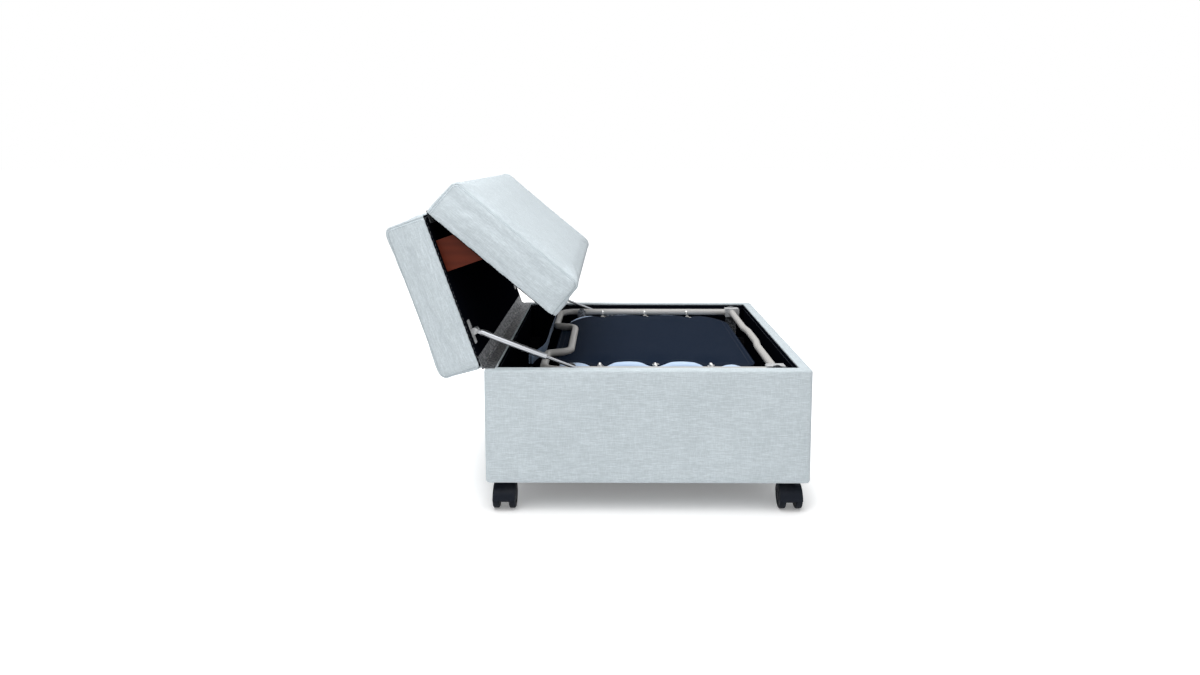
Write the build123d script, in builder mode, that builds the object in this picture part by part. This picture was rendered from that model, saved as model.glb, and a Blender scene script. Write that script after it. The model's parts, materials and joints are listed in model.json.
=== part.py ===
from build123d import *
import math
import os

os.makedirs("parts", exist_ok=True)

# Storage ottoman on casters with a folded guest bed inside and a lid in two halves.
# X runs along the length, Y runs away from the long front side and Z is up.
# The origin is on the floor below the middle of the box. The lid stands open.

# Box
box_length = 790.0
box_depth = 840.0
rim_height = 358.0
caster_height = 76.0
board_thickness = 20.0
base_thickness = 12.0
cover_thickness = 6.0
rim_cover_thickness = 4.0
lining_thickness = 1.5
turn_under_width = 60.0
turn_under_thickness = 2.0
felt_thickness = 1.0
box_corner_radius = 10.0
box_bottom_radius = 8.0
rim_edge_radius = 3.0
corner_block_leg = 34.0
corner_block_height = 150.0
overrun = 20.0

# Lid halves
lid_thickness = 104.0
lid_gap_above_rim = 3.0
lid_middle_gap = 2.0
lid_board_thickness = 12.0
lid_wrap_width = 6.0
lid_crown = 5.0
lid_top_radius = 22.0
lid_bottom_radius = 5.0
lid_corner_radius = 24.0
rear_hinge_offset = 4.0
rear_hinge_drop = 2.0
middle_hinge_drop = 3.2
rear_open_angle = 109.3
fold_angle = 149.3

# Long hinges
leaf_width = 29.0
leaf_thickness = 1.2
knuckle_radius = 3.0
hinge_pin_radius = 1.5
hinge_pin_clearance = 0.05
knuckle_clearance = 0.4
knuckle_count = 10
rear_hinge_end_gap = 15.0
middle_hinge_end_gap = 40.0

# Prop boards that hold the front half off the rear half
prop_thickness = 9.0
prop_wall_gap = 2.0
prop_near = 86.0
prop_far = 178.0
prop_rest_gap = 0.3

# Gas struts
strut_wall_gap = 22.5
strut_lid_distance = 88.0
strut_lid_drop = 10.0
strut_wall_reach = 300.0
strut_wall_drop = 40.0
cylinder_radius = 7.5
cylinder_bore = 5.6
cylinder_length = 171.0
cylinder_start = 14.0
gland_length = 12.0
rod_radius = 4.0
rod_clearance = 0.05
piston_length = 8.0
piston_clearance = 0.1
rod_overlap = 12.0
strut_eye_radius = 8.0
strut_eye_width = 12.0
stud_radius = 3.95
stud_clearance = 0.05
socket_radius = 6.5
socket_gap = 0.4
bracket_plate_thickness = 2.0
bracket_length = 60.0
bracket_width = 20.0
bracket_slot_length = 16.0
bracket_slot_radius = 2.5
bracket_ear_radius = 8.0
bracket_ear_gap = 5.0

# Casters
caster_inset_x = 43.0
caster_inset_y = 56.0
caster_trail = 18.0
wheel_radius = 29.0
wheel_width = 16.0
wheel_edge_radius = 4.0
wheel_inner_x = 12.0
wheel_cap = 1.0
wheel_dish_radius = 19.0
wheel_dish_depth = 1.5
axle_radius = 4.0
axle_clearance = 0.05
web_half_width = 11.5
hood_radius = 33.0
hood_well_gap = 1.2
hood_half_width = 27.0
web_foot_radius = 12.0
boss_radius = 12.5
kingpin_radius = 5.5
kingpin_length = 24.0
kingpin_clearance = 0.05
race_radius = 15.0
race_height = 3.0
swivel_gap = 0.3
plate_size = 46.0
plate_thickness = 2.5
plate_corner_radius = 6.0
plate_hole_radius = 2.2
plate_hole_inset = 6.0

# Folded bed
bed_left_gap = 107.5
bed_right_gap = 47.5
bed_side_gap = 42.5
bed_rail_drop = 20.0
tube_radius = 10.0
tube_wall = 1.5
slim_tube_radius = 9.0
leg_tube_radius = 8.0
handle_corner_radius = 45.0
handle_straight = 10.0
handle_reach = 60.0
handle_near_y = -188.0
handle_far_y = 135.0
handle_slope = 18.0
handle_bend_radius = 34.0
hinge_tube_bow = 6.0
hinge_tube_bow_start = 112.0
hinge_tube_bow_end = 62.0
hinge_tube_bend_radius = 90.0
fitting_length = 48.0
fitting_width = 26.0
fitting_height = 28.0
fitting_radius = 4.0
fitting_rail_depth = 12.0
fitting_tube_depth = 12.0
bed_pin_radius = 5.0
bed_pin_clearance = 0.05
bed_pin_depth = 9.5
bed_pin_bore_depth = 10.0
bed_pin_head_radius = 8.0
bed_pin_head = 3.0

# Sprung deck on top of the folded bed
deck_left_inset = 15.0
deck_right_inset = 30.0
deck_thickness = 3.0
deck_crown_drop = 22.0
deck_sag = 14.0
spring_span = 50.0
deck_valley_depth = 15.0
deck_hook_pitch = 141.0
deck_left_straight = 150.0
deck_right_radius = 70.0
deck_right_slant = 9.0

# Springs between deck and rails
spring_rise = 4.0
spring_wire_radius = 0.9
spring_coil_radius = 4.0
spring_pitch = 3.2
spring_turns = 6
spring_clip_width = 12.0
spring_clip_depth = 9.0
spring_clip_thickness = 2.0
spring_tail = 2.5

# Mattress sections
mattress_left_inset = 25.0
mattress_right_inset = 35.0
mattress_side_inset = 25.0
mattress_count = 3
mattress_corner_radius = 60.0
mattress_edge_radius = 14.0
mattress_draw_in = 5.0
mattress_gap = 1.0

# Lower bed sections
sheet_deck_thickness = 2.5
bottom_deck_inset = 12.0
foot_rail_inset = 5.0
foot_left_inset = 11.0
foot_deck_inset = 20.0
bottom_left_inset = 10.0
bottom_cross_inset = 30.0
bottom_rail_overhang = 20.0
clamp_thickness = 2.0
clamp_width = 20.0
clamp_flange = 14.0
clamp_left_inset = 70.0
clamp_right_inset = 90.0

# Uprights that carry the bed's pivot
upright_width = 36.0
upright_thickness = 4.0
upright_gap = 0.8
upright_floor_gap = 1.5
saddle_half_height = 14.0

# Links and folded legs
link_inset = 70.0
link_radius = 14.0
link_thickness = 3.0
link_side_inset = 19.0
bolt_radius = 4.0
leg_side_inset = 32.0
leg_length = 320.0
leg_bend_radius = 40.0
leg_tail = 14.0
inner_leg_inset = 110.0
outer_leg_inset = 35.0
leg_plate_half_width = 14.0
leg_plate_thickness = 3.0

# Webbing strap that ties the folded bed
strap_thickness = 2.2
strap_width = 22.0
strap_gap = 0.3
strap_far_y = 240.0
strap_turn_y = -130.0
strap_drop_reach = 32.0
strap_drop_y = -205.0
strap_fold_length = 46.0
strap_fold_gap = 0.9
strap_fold_count = 4
strap_bend_radius = 40.0

# Worked out from the sizes above
half_length = box_length / 2
half_depth = box_depth / 2
base_bottom_z = caster_height + turn_under_thickness
base_top_z = base_bottom_z + base_thickness
floor_z = base_top_z + lining_thickness
board_top_z = rim_height - rim_cover_thickness
board_half_length = half_length - cover_thickness
board_half_depth = half_depth - cover_thickness
lining_half_length = board_half_length - board_thickness
lining_half_depth = board_half_depth - board_thickness
inner_half_length = lining_half_length - lining_thickness
inner_half_depth = lining_half_depth - lining_thickness
half_lid_length = half_length - lid_middle_gap / 2
rear_hinge_length = box_depth - 2 * rear_hinge_end_gap
middle_hinge_length = box_depth - 2 * middle_hinge_end_gap
strut_y = inner_half_depth - strut_wall_gap
strut_wall_x = strut_wall_reach - half_length
strut_wall_z = rim_height - strut_wall_drop
bed_left_x = bed_left_gap - inner_half_length
bed_right_x = inner_half_length - bed_right_gap
bed_rail_y = inner_half_depth - bed_side_gap
bed_rail_z = rim_height - bed_rail_drop
deck_left_x = bed_left_x + deck_left_inset
deck_right_x = bed_right_x - deck_right_inset
deck_crown_z = rim_height - deck_crown_drop
deck_hook_y = bed_rail_y - spring_span
deck_valley_y = deck_hook_y - deck_valley_depth
spring_z = bed_rail_z + spring_rise
mattress_left_x = bed_left_x + mattress_left_inset
mattress_right_x = bed_right_x - mattress_right_inset
mattress_half_width = bed_rail_y - mattress_side_inset
bottom_deck_half_width = bed_rail_y - bottom_deck_inset
foot_rail_y = bed_rail_y - foot_rail_inset
foot_left_x = bed_left_x + foot_left_inset
foot_deck_half_width = bed_rail_y - foot_deck_inset
bottom_left_x = bed_left_x + bottom_left_inset
bottom_cross_x = bed_right_x - bottom_cross_inset
bottom_rail_end_x = bed_right_x + bottom_rail_overhang
clamp_first_x = bed_left_x + clamp_left_inset
clamp_second_x = bed_right_x - clamp_right_inset
link_x = bed_left_x + link_inset
link_y = bed_rail_y - link_side_inset
leg_side_y = bed_rail_y - leg_side_inset
inner_leg_x = bed_left_x + inner_leg_inset
outer_leg_x = bed_right_x - outer_leg_inset
strap_drop_x = bed_left_x - strap_drop_reach
rear_hinge_x = -half_length - rear_hinge_offset
rear_hinge_z = rim_height + lid_gap_above_rim - rear_hinge_drop
middle_along = rear_hinge_offset + half_lid_length + lid_middle_gap / 2
middle_up = rear_hinge_drop - middle_hinge_drop
front_angle = rear_open_angle - fold_angle


def turned(angle):
    """Cosine and sine of an angle in degrees."""
    return math.cos(math.radians(angle)), math.sin(math.radians(angle))


def panel_plane(pivot_x, pivot_z, angle, at_y=0.0):
    """Local X along a lid half, local Y towards its upholstered top, local Z to the front."""
    along, up = turned(angle)
    return Plane(origin=(pivot_x, at_y, pivot_z), x_dir=(along, 0, up), z_dir=(0, -1, 0))


rear_cos, rear_sin = turned(rear_open_angle)
middle_hinge_x = rear_hinge_x + middle_along * rear_cos - middle_up * rear_sin
middle_hinge_z = rear_hinge_z + middle_along * rear_sin + middle_up * rear_cos
rear_plane = panel_plane(rear_hinge_x, rear_hinge_z, rear_open_angle)
rear_end_plane = panel_plane(middle_hinge_x, middle_hinge_z, rear_open_angle)
front_plane = panel_plane(middle_hinge_x, middle_hinge_z, front_angle)


# Box shell, made of boards on a base
with BuildPart() as base_board:
    with BuildSketch(Plane.XY.offset(base_bottom_z)):
        Rectangle(2 * board_half_length, 2 * board_half_depth)
    extrude(amount=base_thickness)
base_board.part.label = "base_board"
export_step(base_board.part, "parts/base_board.step")

for panel_name, panel_side in (("front_panel", -1), ("back_panel", 1)):
    with BuildPart() as long_panel:
        with BuildSketch(Plane.XY.offset(base_top_z)):
            with Locations((0, panel_side * (board_half_depth - board_thickness / 2))):
                Rectangle(2 * board_half_length, board_thickness)
        extrude(amount=board_top_z - base_top_z)
    long_panel.part.label = panel_name
    export_step(long_panel.part, f"parts/{panel_name}.step")

for panel_name, panel_side in (("left_panel", -1), ("right_panel", 1)):
    with BuildPart() as end_panel:
        with BuildSketch(Plane.XY.offset(base_top_z)):
            with Locations((panel_side * (board_half_length - board_thickness / 2), 0)):
                Rectangle(board_thickness, 2 * lining_half_depth)
        extrude(amount=board_top_z - base_top_z)
    end_panel.part.label = panel_name
    export_step(end_panel.part, f"parts/{panel_name}.step")

with BuildPart() as corner_blocks:
    for side_x in (-1, 1):
        for side_y in (-1, 1):
            corner_x = side_x * lining_half_length
            corner_y = side_y * lining_half_depth
            with BuildSketch(Plane.XY.offset(base_top_z)):
                with BuildLine():
                    Polyline(
                        (corner_x, corner_y),
                        (corner_x - side_x * corner_block_leg, corner_y),
                        (corner_x, corner_y - side_y * corner_block_leg),
                        close=True,
                    )
                make_face()
            extrude(amount=corner_block_height)
corner_blocks.part.label = "corner_blocks"
export_step(corner_blocks.part, "parts/corner_blocks.step")

# Upholstery cover: outer skin, rim and the edge turned under the base
with BuildPart() as box_cover:
    with BuildSketch(Plane.XY.offset(caster_height)):
        RectangleRounded(box_length, box_depth, box_corner_radius)
    extrude(amount=rim_height - caster_height)
    fillet(box_cover.edges().group_by(Axis.Z)[0], box_bottom_radius)
    fillet(box_cover.edges().group_by(Axis.Z)[-1], rim_edge_radius)
    with BuildSketch(Plane.XY.offset(base_bottom_z)):
        Rectangle(2 * board_half_length, 2 * board_half_depth)
    extrude(amount=board_top_z - base_bottom_z, mode=Mode.SUBTRACT)
    with BuildSketch(Plane.XY.offset(board_top_z - overrun)):
        Rectangle(2 * inner_half_length, 2 * inner_half_depth)
    extrude(amount=rim_cover_thickness + 2 * overrun, mode=Mode.SUBTRACT)
    with BuildSketch(Plane.XY.offset(caster_height - overrun)):
        Rectangle(2 * (board_half_length - turn_under_width), 2 * (board_half_depth - turn_under_width))
    extrude(amount=turn_under_thickness + 2 * overrun, mode=Mode.SUBTRACT)
box_cover.part.label = "box_cover"
export_step(box_cover.part, "parts/box_cover.step")

with BuildPart() as underside_felt:
    with BuildSketch(Plane.XY.offset(base_bottom_z - felt_thickness)):
        Rectangle(2 * (board_half_length - turn_under_width), 2 * (board_half_depth - turn_under_width))
    extrude(amount=felt_thickness)
underside_felt.part.label = "underside_felt"
export_step(underside_felt.part, "parts/underside_felt.step")

with BuildPart() as box_lining:
    with BuildSketch(Plane.XY.offset(base_top_z)):
        Rectangle(2 * lining_half_length, 2 * lining_half_depth)
    extrude(amount=board_top_z - base_top_z)
    with BuildSketch(Plane.XY.offset(floor_z)):
        Rectangle(2 * inner_half_length, 2 * inner_half_depth)
    extrude(amount=board_top_z - floor_z + overrun, mode=Mode.SUBTRACT)
    add(corner_blocks.part, mode=Mode.SUBTRACT)
box_lining.part.label = "box_lining"
export_step(box_lining.part, "parts/box_lining.step")


# Lid halves: the plan runs from the hinge line outwards, in each half's own plane
pad_sets = {
    "rear": (rear_plane, rear_hinge_offset, rear_hinge_drop),
    "front": (front_plane, lid_middle_gap / 2, middle_hinge_drop),
}

for half_name, (half_plane, pad_start, underside) in pad_sets.items():
    pad_end = pad_start + half_lid_length
    pad_middle = (pad_start + pad_end) / 2
    plan_plane = Plane(
        origin=half_plane.from_local_coords((pad_middle, 0, 0)),
        x_dir=half_plane.x_dir,
        z_dir=half_plane.y_dir,
    )
    board_low = underside + lining_thickness
    board_plan_length = half_lid_length - 2 * lid_wrap_width
    board_plan_depth = box_depth - 2 * lid_wrap_width

    pad_top = underside + lid_thickness
    pad_shoulder = pad_top - lid_crown
    pad_up = Axis((0, 0, 0), half_plane.y_dir)

    with BuildPart() as lid_pad:
        with BuildSketch(half_plane):
            with BuildLine():
                Line((pad_start, underside), (pad_end, underside))
                Line((pad_end, underside), (pad_end, pad_shoulder))
                ThreePointArc((pad_end, pad_shoulder), (pad_middle, pad_top), (pad_start, pad_shoulder))
                Line((pad_start, pad_shoulder), (pad_start, underside))
            make_face()
        extrude(amount=half_depth, both=True)
        fillet(lid_pad.edges().filter_by(pad_up), lid_corner_radius)
        fillet(lid_pad.faces().sort_by(pad_up)[-1].edges(), lid_top_radius)
        fillet(lid_pad.faces().sort_by(pad_up)[0].edges(), lid_bottom_radius)
        with BuildSketch(plan_plane.offset(underside - overrun)):
            Rectangle(board_plan_length, board_plan_depth)
        extrude(amount=overrun + lining_thickness + lid_board_thickness, mode=Mode.SUBTRACT)
    lid_pad.part.label = half_name + "_lid_pad"
    export_step(lid_pad.part, f"parts/{half_name}_lid_pad.step")

    with BuildPart() as lid_board:
        with BuildSketch(plan_plane.offset(board_low)):
            Rectangle(board_plan_length, board_plan_depth)
        extrude(amount=lid_board_thickness)
    lid_board.part.label = half_name + "_lid_board"
    export_step(lid_board.part, f"parts/{half_name}_lid_board.step")

    with BuildPart() as lid_lining:
        with BuildSketch(plan_plane.offset(underside)):
            Rectangle(board_plan_length, board_plan_depth)
        extrude(amount=lining_thickness)
    lid_lining.part.label = half_name + "_lid_lining"
    export_step(lid_lining.part, f"parts/{half_name}_lid_lining.step")


# Long hinges with interleaved knuckles
hinge_bore = hinge_pin_radius + hinge_pin_clearance


def hinge_leaf(pivot_plane, side, sheet_low, length, first_knuckle):
    """One leaf: a sheet to one side of the pivot and every second knuckle."""
    pitch = length / knuckle_count
    cut_back = knuckle_radius + knuckle_clearance
    sheet_middle = sheet_low + leaf_thickness / 2
    with BuildPart() as leaf:
        with BuildSketch(pivot_plane):
            with Locations((side * (cut_back + leaf_width) / 2, sheet_middle)):
                Rectangle(leaf_width - cut_back, leaf_thickness)
        extrude(amount=length / 2, both=True)
        for index in range(first_knuckle, knuckle_count, 2):
            knuckle_start = index * pitch - length / 2 + knuckle_clearance / 2
            with BuildSketch(pivot_plane.offset(knuckle_start)):
                Circle(knuckle_radius)
                with Locations((side * cut_back / 2, sheet_middle)):
                    Rectangle(cut_back, leaf_thickness)
                Circle(hinge_bore, mode=Mode.SUBTRACT)
            extrude(amount=pitch - knuckle_clearance)
    return leaf


def hinge_pin(pivot_plane, length):
    """The straight pin through all knuckles of one hinge."""
    with BuildPart() as pin:
        with BuildSketch(pivot_plane):
            Circle(hinge_pin_radius)
        extrude(amount=length / 2, both=True)
    return pin


rim_plane = panel_plane(rear_hinge_x, rear_hinge_z, 0)
rim_sheet_low = rim_height - rear_hinge_z
rear_sheet_low = rear_hinge_drop - leaf_thickness
middle_sheet_low = middle_hinge_drop - leaf_thickness
hinge_pieces = {
    "rim_hinge_leaf": hinge_leaf(rim_plane, 1, rim_sheet_low, rear_hinge_length, 0),
    "rear_hinge_leaf": hinge_leaf(rear_plane, 1, rear_sheet_low, rear_hinge_length, 1),
    "rear_hinge_pin": hinge_pin(rim_plane, rear_hinge_length),
    "middle_hinge_rear_leaf": hinge_leaf(rear_end_plane, -1, middle_sheet_low, middle_hinge_length, 0),
    "middle_hinge_front_leaf": hinge_leaf(front_plane, 1, middle_sheet_low, middle_hinge_length, 1),
    "middle_hinge_pin": hinge_pin(front_plane, middle_hinge_length),
}
for hinge_name, hinge_piece in hinge_pieces.items():
    hinge_piece.part.label = hinge_name
    export_step(hinge_piece.part, f"parts/{hinge_name}.step")


# Prop boards under the front half, square to the rear half's underside when open
prop_y = inner_half_depth - prop_wall_gap - prop_thickness
into_rear = (-turned(fold_angle)[1], turned(fold_angle)[0])


def prop_foot(distance):
    """Where an edge of the prop board meets the rear half's underside."""
    start = (distance, middle_hinge_drop)
    reach = middle_hinge_drop - start[0] * into_rear[0] - start[1] * into_rear[1] - prop_rest_gap
    return start[0] + reach * into_rear[0], start[1] + reach * into_rear[1]


with BuildPart() as prop_boards:
    for prop_side in (-1, 1):
        prop_start = prop_y if prop_side > 0 else -prop_y - prop_thickness
        with BuildSketch(front_plane.offset(prop_start)):
            with BuildLine():
                Polyline(
                    (prop_near, middle_hinge_drop),
                    (prop_far, middle_hinge_drop),
                    prop_foot(prop_far),
                    prop_foot(prop_near),
                    close=True,
                )
            make_face()
        extrude(amount=prop_thickness)
prop_boards.part.label = "prop_boards"
export_step(prop_boards.part, "parts/prop_boards.step")

# Gas struts: cylinder on the lid, rod towards the wall bracket
strut_lid_x = rear_hinge_x + strut_lid_distance * rear_cos - (rear_hinge_drop - strut_lid_drop) * rear_sin
strut_lid_z = rear_hinge_z + strut_lid_distance * rear_sin + (rear_hinge_drop - strut_lid_drop) * rear_cos
strut_open_length = math.hypot(strut_wall_x - strut_lid_x, strut_wall_z - strut_lid_z)
strut_angle = math.degrees(math.atan2(strut_wall_z - strut_lid_z, strut_wall_x - strut_lid_x))
cylinder_end = cylinder_start + cylinder_length
piston_start = cylinder_end - gland_length - rod_overlap
bracket_wall_y = inner_half_depth - bracket_plate_thickness
eye_bore = stud_radius + stud_clearance

for strut_name, strut_side in (("near", -1), ("far", 1)):
    along_cos, along_sin = turned(strut_angle)
    strut_middle = Plane(
        origin=(strut_lid_x, strut_side * strut_y, strut_lid_z),
        x_dir=(along_cos, 0, along_sin),
        z_dir=(0, strut_side, 0),
    )
    strut_line = Plane(
        origin=strut_middle.origin,
        x_dir=(0, 1, 0),
        z_dir=(along_cos, 0, along_sin),
    )

    with BuildPart() as strut_cylinder:
        with BuildSketch(strut_line.offset(cylinder_start)):
            Circle(cylinder_radius)
        extrude(amount=cylinder_length)
        with BuildSketch(strut_line.offset(cylinder_start + gland_length)):
            Circle(cylinder_bore)
        extrude(amount=cylinder_length - 2 * gland_length, mode=Mode.SUBTRACT)
        with BuildSketch(strut_line.offset(cylinder_end - gland_length)):
            Circle(rod_radius + rod_clearance)
        extrude(amount=gland_length, mode=Mode.SUBTRACT)
        with BuildSketch(strut_middle):
            Circle(strut_eye_radius)
            with Locations((cylinder_start / 2, 0)):
                Rectangle(cylinder_start, strut_eye_radius)
            Circle(eye_bore, mode=Mode.SUBTRACT)
        extrude(amount=strut_eye_width / 2, both=True)
    strut_cylinder.part.label = f"{strut_name}_strut_cylinder"
    export_step(strut_cylinder.part, f"parts/{strut_name}_strut_cylinder.step")

    with BuildPart() as strut_rod:
        with BuildSketch(strut_line.offset(piston_start)):
            Circle(cylinder_bore - piston_clearance)
        extrude(amount=piston_length)
        with BuildSketch(strut_line.offset(piston_start)):
            Circle(rod_radius)
        extrude(amount=strut_open_length - piston_start)
        with BuildSketch(strut_middle.offset(-strut_eye_width / 2)):
            with Locations((strut_open_length, 0)):
                Circle(socket_radius)
        extrude(amount=strut_eye_width)
    strut_rod.part.label = f"{strut_name}_strut_rod"
    export_step(strut_rod.part, f"parts/{strut_name}_strut_rod.step")

with BuildPart() as strut_lid_brackets:
    for strut_side in (-1, 1):
        ear_y = strut_y + strut_eye_width / 2 + bracket_ear_gap
        ear_plane = panel_plane(rear_hinge_x, rear_hinge_z, rear_open_angle, strut_side * ear_y)
        if strut_side > 0:
            ear_plane = ear_plane.offset(-bracket_plate_thickness)
        foot_middle = strut_side * (ear_y + bracket_plate_thickness - bracket_width / 2)
        with BuildSketch(rear_plane.offset(-foot_middle)):
            with Locations((strut_lid_distance, rear_hinge_drop - bracket_plate_thickness / 2)):
                Rectangle(bracket_length, bracket_plate_thickness)
        extrude(amount=bracket_width / 2, both=True)
        with BuildSketch(ear_plane):
            with Locations((strut_lid_distance, rear_hinge_drop - strut_lid_drop)):
                Circle(bracket_ear_radius)
            with Locations((strut_lid_distance, rear_hinge_drop - strut_lid_drop / 2)):
                Rectangle(2 * bracket_ear_radius, strut_lid_drop)
        extrude(amount=bracket_plate_thickness)
        stud_plane = panel_plane(
            rear_hinge_x,
            rear_hinge_z,
            rear_open_angle,
            strut_side * (strut_y - strut_eye_width / 2),
        )
        with BuildSketch(stud_plane):
            with Locations((strut_lid_distance, rear_hinge_drop - strut_lid_drop)):
                Circle(stud_radius)
        extrude(amount=-strut_side * (strut_eye_width + bracket_ear_gap + bracket_plate_thickness))
strut_lid_brackets.part.label = "strut_lid_brackets"
export_step(strut_lid_brackets.part, "parts/strut_lid_brackets.step")

with BuildPart() as strut_wall_brackets:
    for strut_side in (-1, 1):
        wall_plane = Plane(
            origin=(strut_wall_x, strut_side * inner_half_depth, strut_wall_z),
            x_dir=(1, 0, 0),
            z_dir=(0, -strut_side, 0),
        )
        with BuildSketch(wall_plane):
            RectangleRounded(bracket_length, bracket_width, bracket_slot_radius)
            slot_offset = (bracket_length - bracket_slot_length) / 2 - bracket_slot_radius
            with Locations((-slot_offset, 0), (slot_offset, 0)):
                SlotOverall(bracket_slot_length, 2 * bracket_slot_radius, mode=Mode.SUBTRACT)
        extrude(amount=bracket_plate_thickness)
        with BuildSketch(wall_plane.offset(bracket_plate_thickness)):
            Circle(stud_radius)
        extrude(amount=bracket_wall_y - strut_y - strut_eye_width / 2 - socket_gap)
strut_wall_brackets.part.label = "strut_wall_brackets"
export_step(strut_wall_brackets.part, "parts/strut_wall_brackets.step")


# Casters: plate with race and kingpin on the box, hood that swivels, two wheels on its axle
plate_top_z = caster_height
plate_low_z = plate_top_z - plate_thickness
race_low_z = plate_low_z - race_height
boss_top_z = race_low_z - swivel_gap
caster_x = half_length - caster_inset_x
caster_y = half_depth - caster_inset_y
caster_sets = {
    "front_left": (-1, -1),
    "front_right": (1, -1),
    "back_left": (-1, 1),
    "back_right": (1, 1),
}

with BuildPart() as caster_plates:
    for side_x, side_y in caster_sets.values():
        with BuildSketch(Plane.XY.offset(plate_low_z)):
            with Locations((side_x * caster_x, side_y * caster_y)):
                RectangleRounded(plate_size, plate_size, plate_corner_radius)
                hole_pitch = plate_size - 2 * plate_hole_inset
                with GridLocations(hole_pitch, hole_pitch, 2, 2):
                    Circle(plate_hole_radius, mode=Mode.SUBTRACT)
        extrude(amount=plate_thickness)
        with BuildSketch(Plane.XY.offset(race_low_z)):
            with Locations((side_x * caster_x, side_y * caster_y)):
                Circle(race_radius)
        extrude(amount=race_height)
        with BuildSketch(Plane.XY.offset(race_low_z - kingpin_length)):
            with Locations((side_x * caster_x, side_y * caster_y)):
                Circle(kingpin_radius)
        extrude(amount=kingpin_length)
caster_plates.part.label = "caster_plates"
export_step(caster_plates.part, "parts/caster_plates.step")

for caster_name, (side_x, side_y) in caster_sets.items():
    swivel_x = side_x * caster_x
    swivel_y = side_y * caster_y
    wheel_plane = Plane(
        origin=(swivel_x, swivel_y + side_y * caster_trail, wheel_radius),
        x_dir=(0, side_y, 0),
        z_dir=(side_y, 0, 0),
    )
    well_radius = wheel_radius + hood_well_gap
    with BuildPart() as caster_hood:
        with BuildSketch(wheel_plane):
            Circle(hood_radius)
            with Locations((0, -hood_radius)):
                Rectangle(2 * hood_radius, 2 * hood_radius, mode=Mode.SUBTRACT)
        extrude(amount=hood_half_width, both=True)
        with BuildSketch(Plane.XY.offset(wheel_radius)):
            with Locations((swivel_x, swivel_y)):
                Circle(boss_radius)
        extrude(amount=boss_top_z - wheel_radius)
        for well_side in (-1, 1):
            with BuildSketch(wheel_plane.offset(well_side * web_half_width)):
                Circle(well_radius)
            extrude(amount=well_side * hood_half_width, mode=Mode.SUBTRACT)
        with BuildSketch(wheel_plane):
            with BuildLine():
                Line((-hood_radius, 0), (hood_radius, 0))
                Line((hood_radius, 0), (web_foot_radius, -web_foot_radius))
                Line((web_foot_radius, -web_foot_radius), (-web_foot_radius, -web_foot_radius))
                Line((-web_foot_radius, -web_foot_radius), (-hood_radius, 0))
            make_face()
        extrude(amount=web_half_width, both=True)
        with BuildSketch(Plane.XY.offset(race_low_z - kingpin_length - swivel_gap)):
            with Locations((swivel_x, swivel_y)):
                Circle(kingpin_radius + kingpin_clearance)
        extrude(amount=kingpin_length + overrun, mode=Mode.SUBTRACT)
        for well_side in (-1, 1):
            with BuildSketch(wheel_plane.offset(well_side * web_half_width)):
                Circle(axle_radius)
            extrude(amount=well_side * (wheel_inner_x + wheel_width - web_half_width - 2 * wheel_cap))
    caster_hood.part.label = f"{caster_name}_caster_hood"
    export_step(caster_hood.part, f"parts/{caster_name}_caster_hood.step")

    for wheel_name, wheel_side in (("left", -1), ("right", 1)):
        wheel_outer = wheel_inner_x + wheel_width
        spin_plane = Plane(
            origin=(swivel_x, swivel_y + side_y * caster_trail, wheel_radius),
            x_dir=(wheel_side, 0, 0),
            z_dir=(0, -wheel_side, 0),
        )
        with BuildPart() as caster_wheel:
            with BuildSketch(spin_plane):
                with BuildLine():
                    Polyline(
                        (wheel_inner_x, axle_radius + axle_clearance),
                        (wheel_inner_x, wheel_radius),
                        (wheel_outer, wheel_radius),
                        (wheel_outer, wheel_dish_radius),
                        (wheel_outer - wheel_dish_depth, wheel_dish_radius - wheel_dish_depth),
                        (wheel_outer - wheel_dish_depth, boss_radius),
                        (wheel_outer, boss_radius - wheel_dish_depth),
                        (wheel_outer, 0),
                        (wheel_outer - wheel_cap, 0),
                        (wheel_outer - wheel_cap, axle_radius + axle_clearance),
                        close=True,
                    )
                make_face()
            revolve(axis=Axis(spin_plane.origin, (1, 0, 0)))
            rim_edges = caster_wheel.edges().filter_by(GeomType.CIRCLE).filter_by(
                lambda edge: edge.radius > wheel_radius - wheel_cap
            )
            fillet(rim_edges, wheel_edge_radius)
        caster_wheel.part.label = f"{caster_name}_{wheel_name}_wheel"
        export_step(caster_wheel.part, f"parts/{caster_name}_{wheel_name}_wheel.step")


# Folded bed: top section with its rails, handle tube and pivot fittings
rail_start_x = bed_left_x + handle_corner_radius + handle_straight
rail_end_x = bed_right_x - fitting_rail_depth
tube_bore = tube_radius - tube_wall
slim_bore = slim_tube_radius - tube_wall
leg_bore = leg_tube_radius - tube_wall


def tube_along_x(plane_x, at_y, at_z, length, outer, bore):
    """Straight tube in X from plane_x."""
    with BuildPart() as tube:
        with BuildSketch(Plane(origin=(plane_x, at_y, at_z), x_dir=(0, 1, 0), z_dir=(1, 0, 0))):
            Circle(outer)
            Circle(bore, mode=Mode.SUBTRACT)
        extrude(amount=length)
    return tube.part


def tube_along_y(at_x, at_z, half_span, outer, bore):
    """Straight tube in Y, centred on the box."""
    with BuildPart() as tube:
        with BuildSketch(Plane(origin=(at_x, 0, at_z), x_dir=(1, 0, 0), z_dir=(0, -1, 0))):
            Circle(outer)
            Circle(bore, mode=Mode.SUBTRACT)
        extrude(amount=half_span, both=True)
    return tube.part


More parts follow.
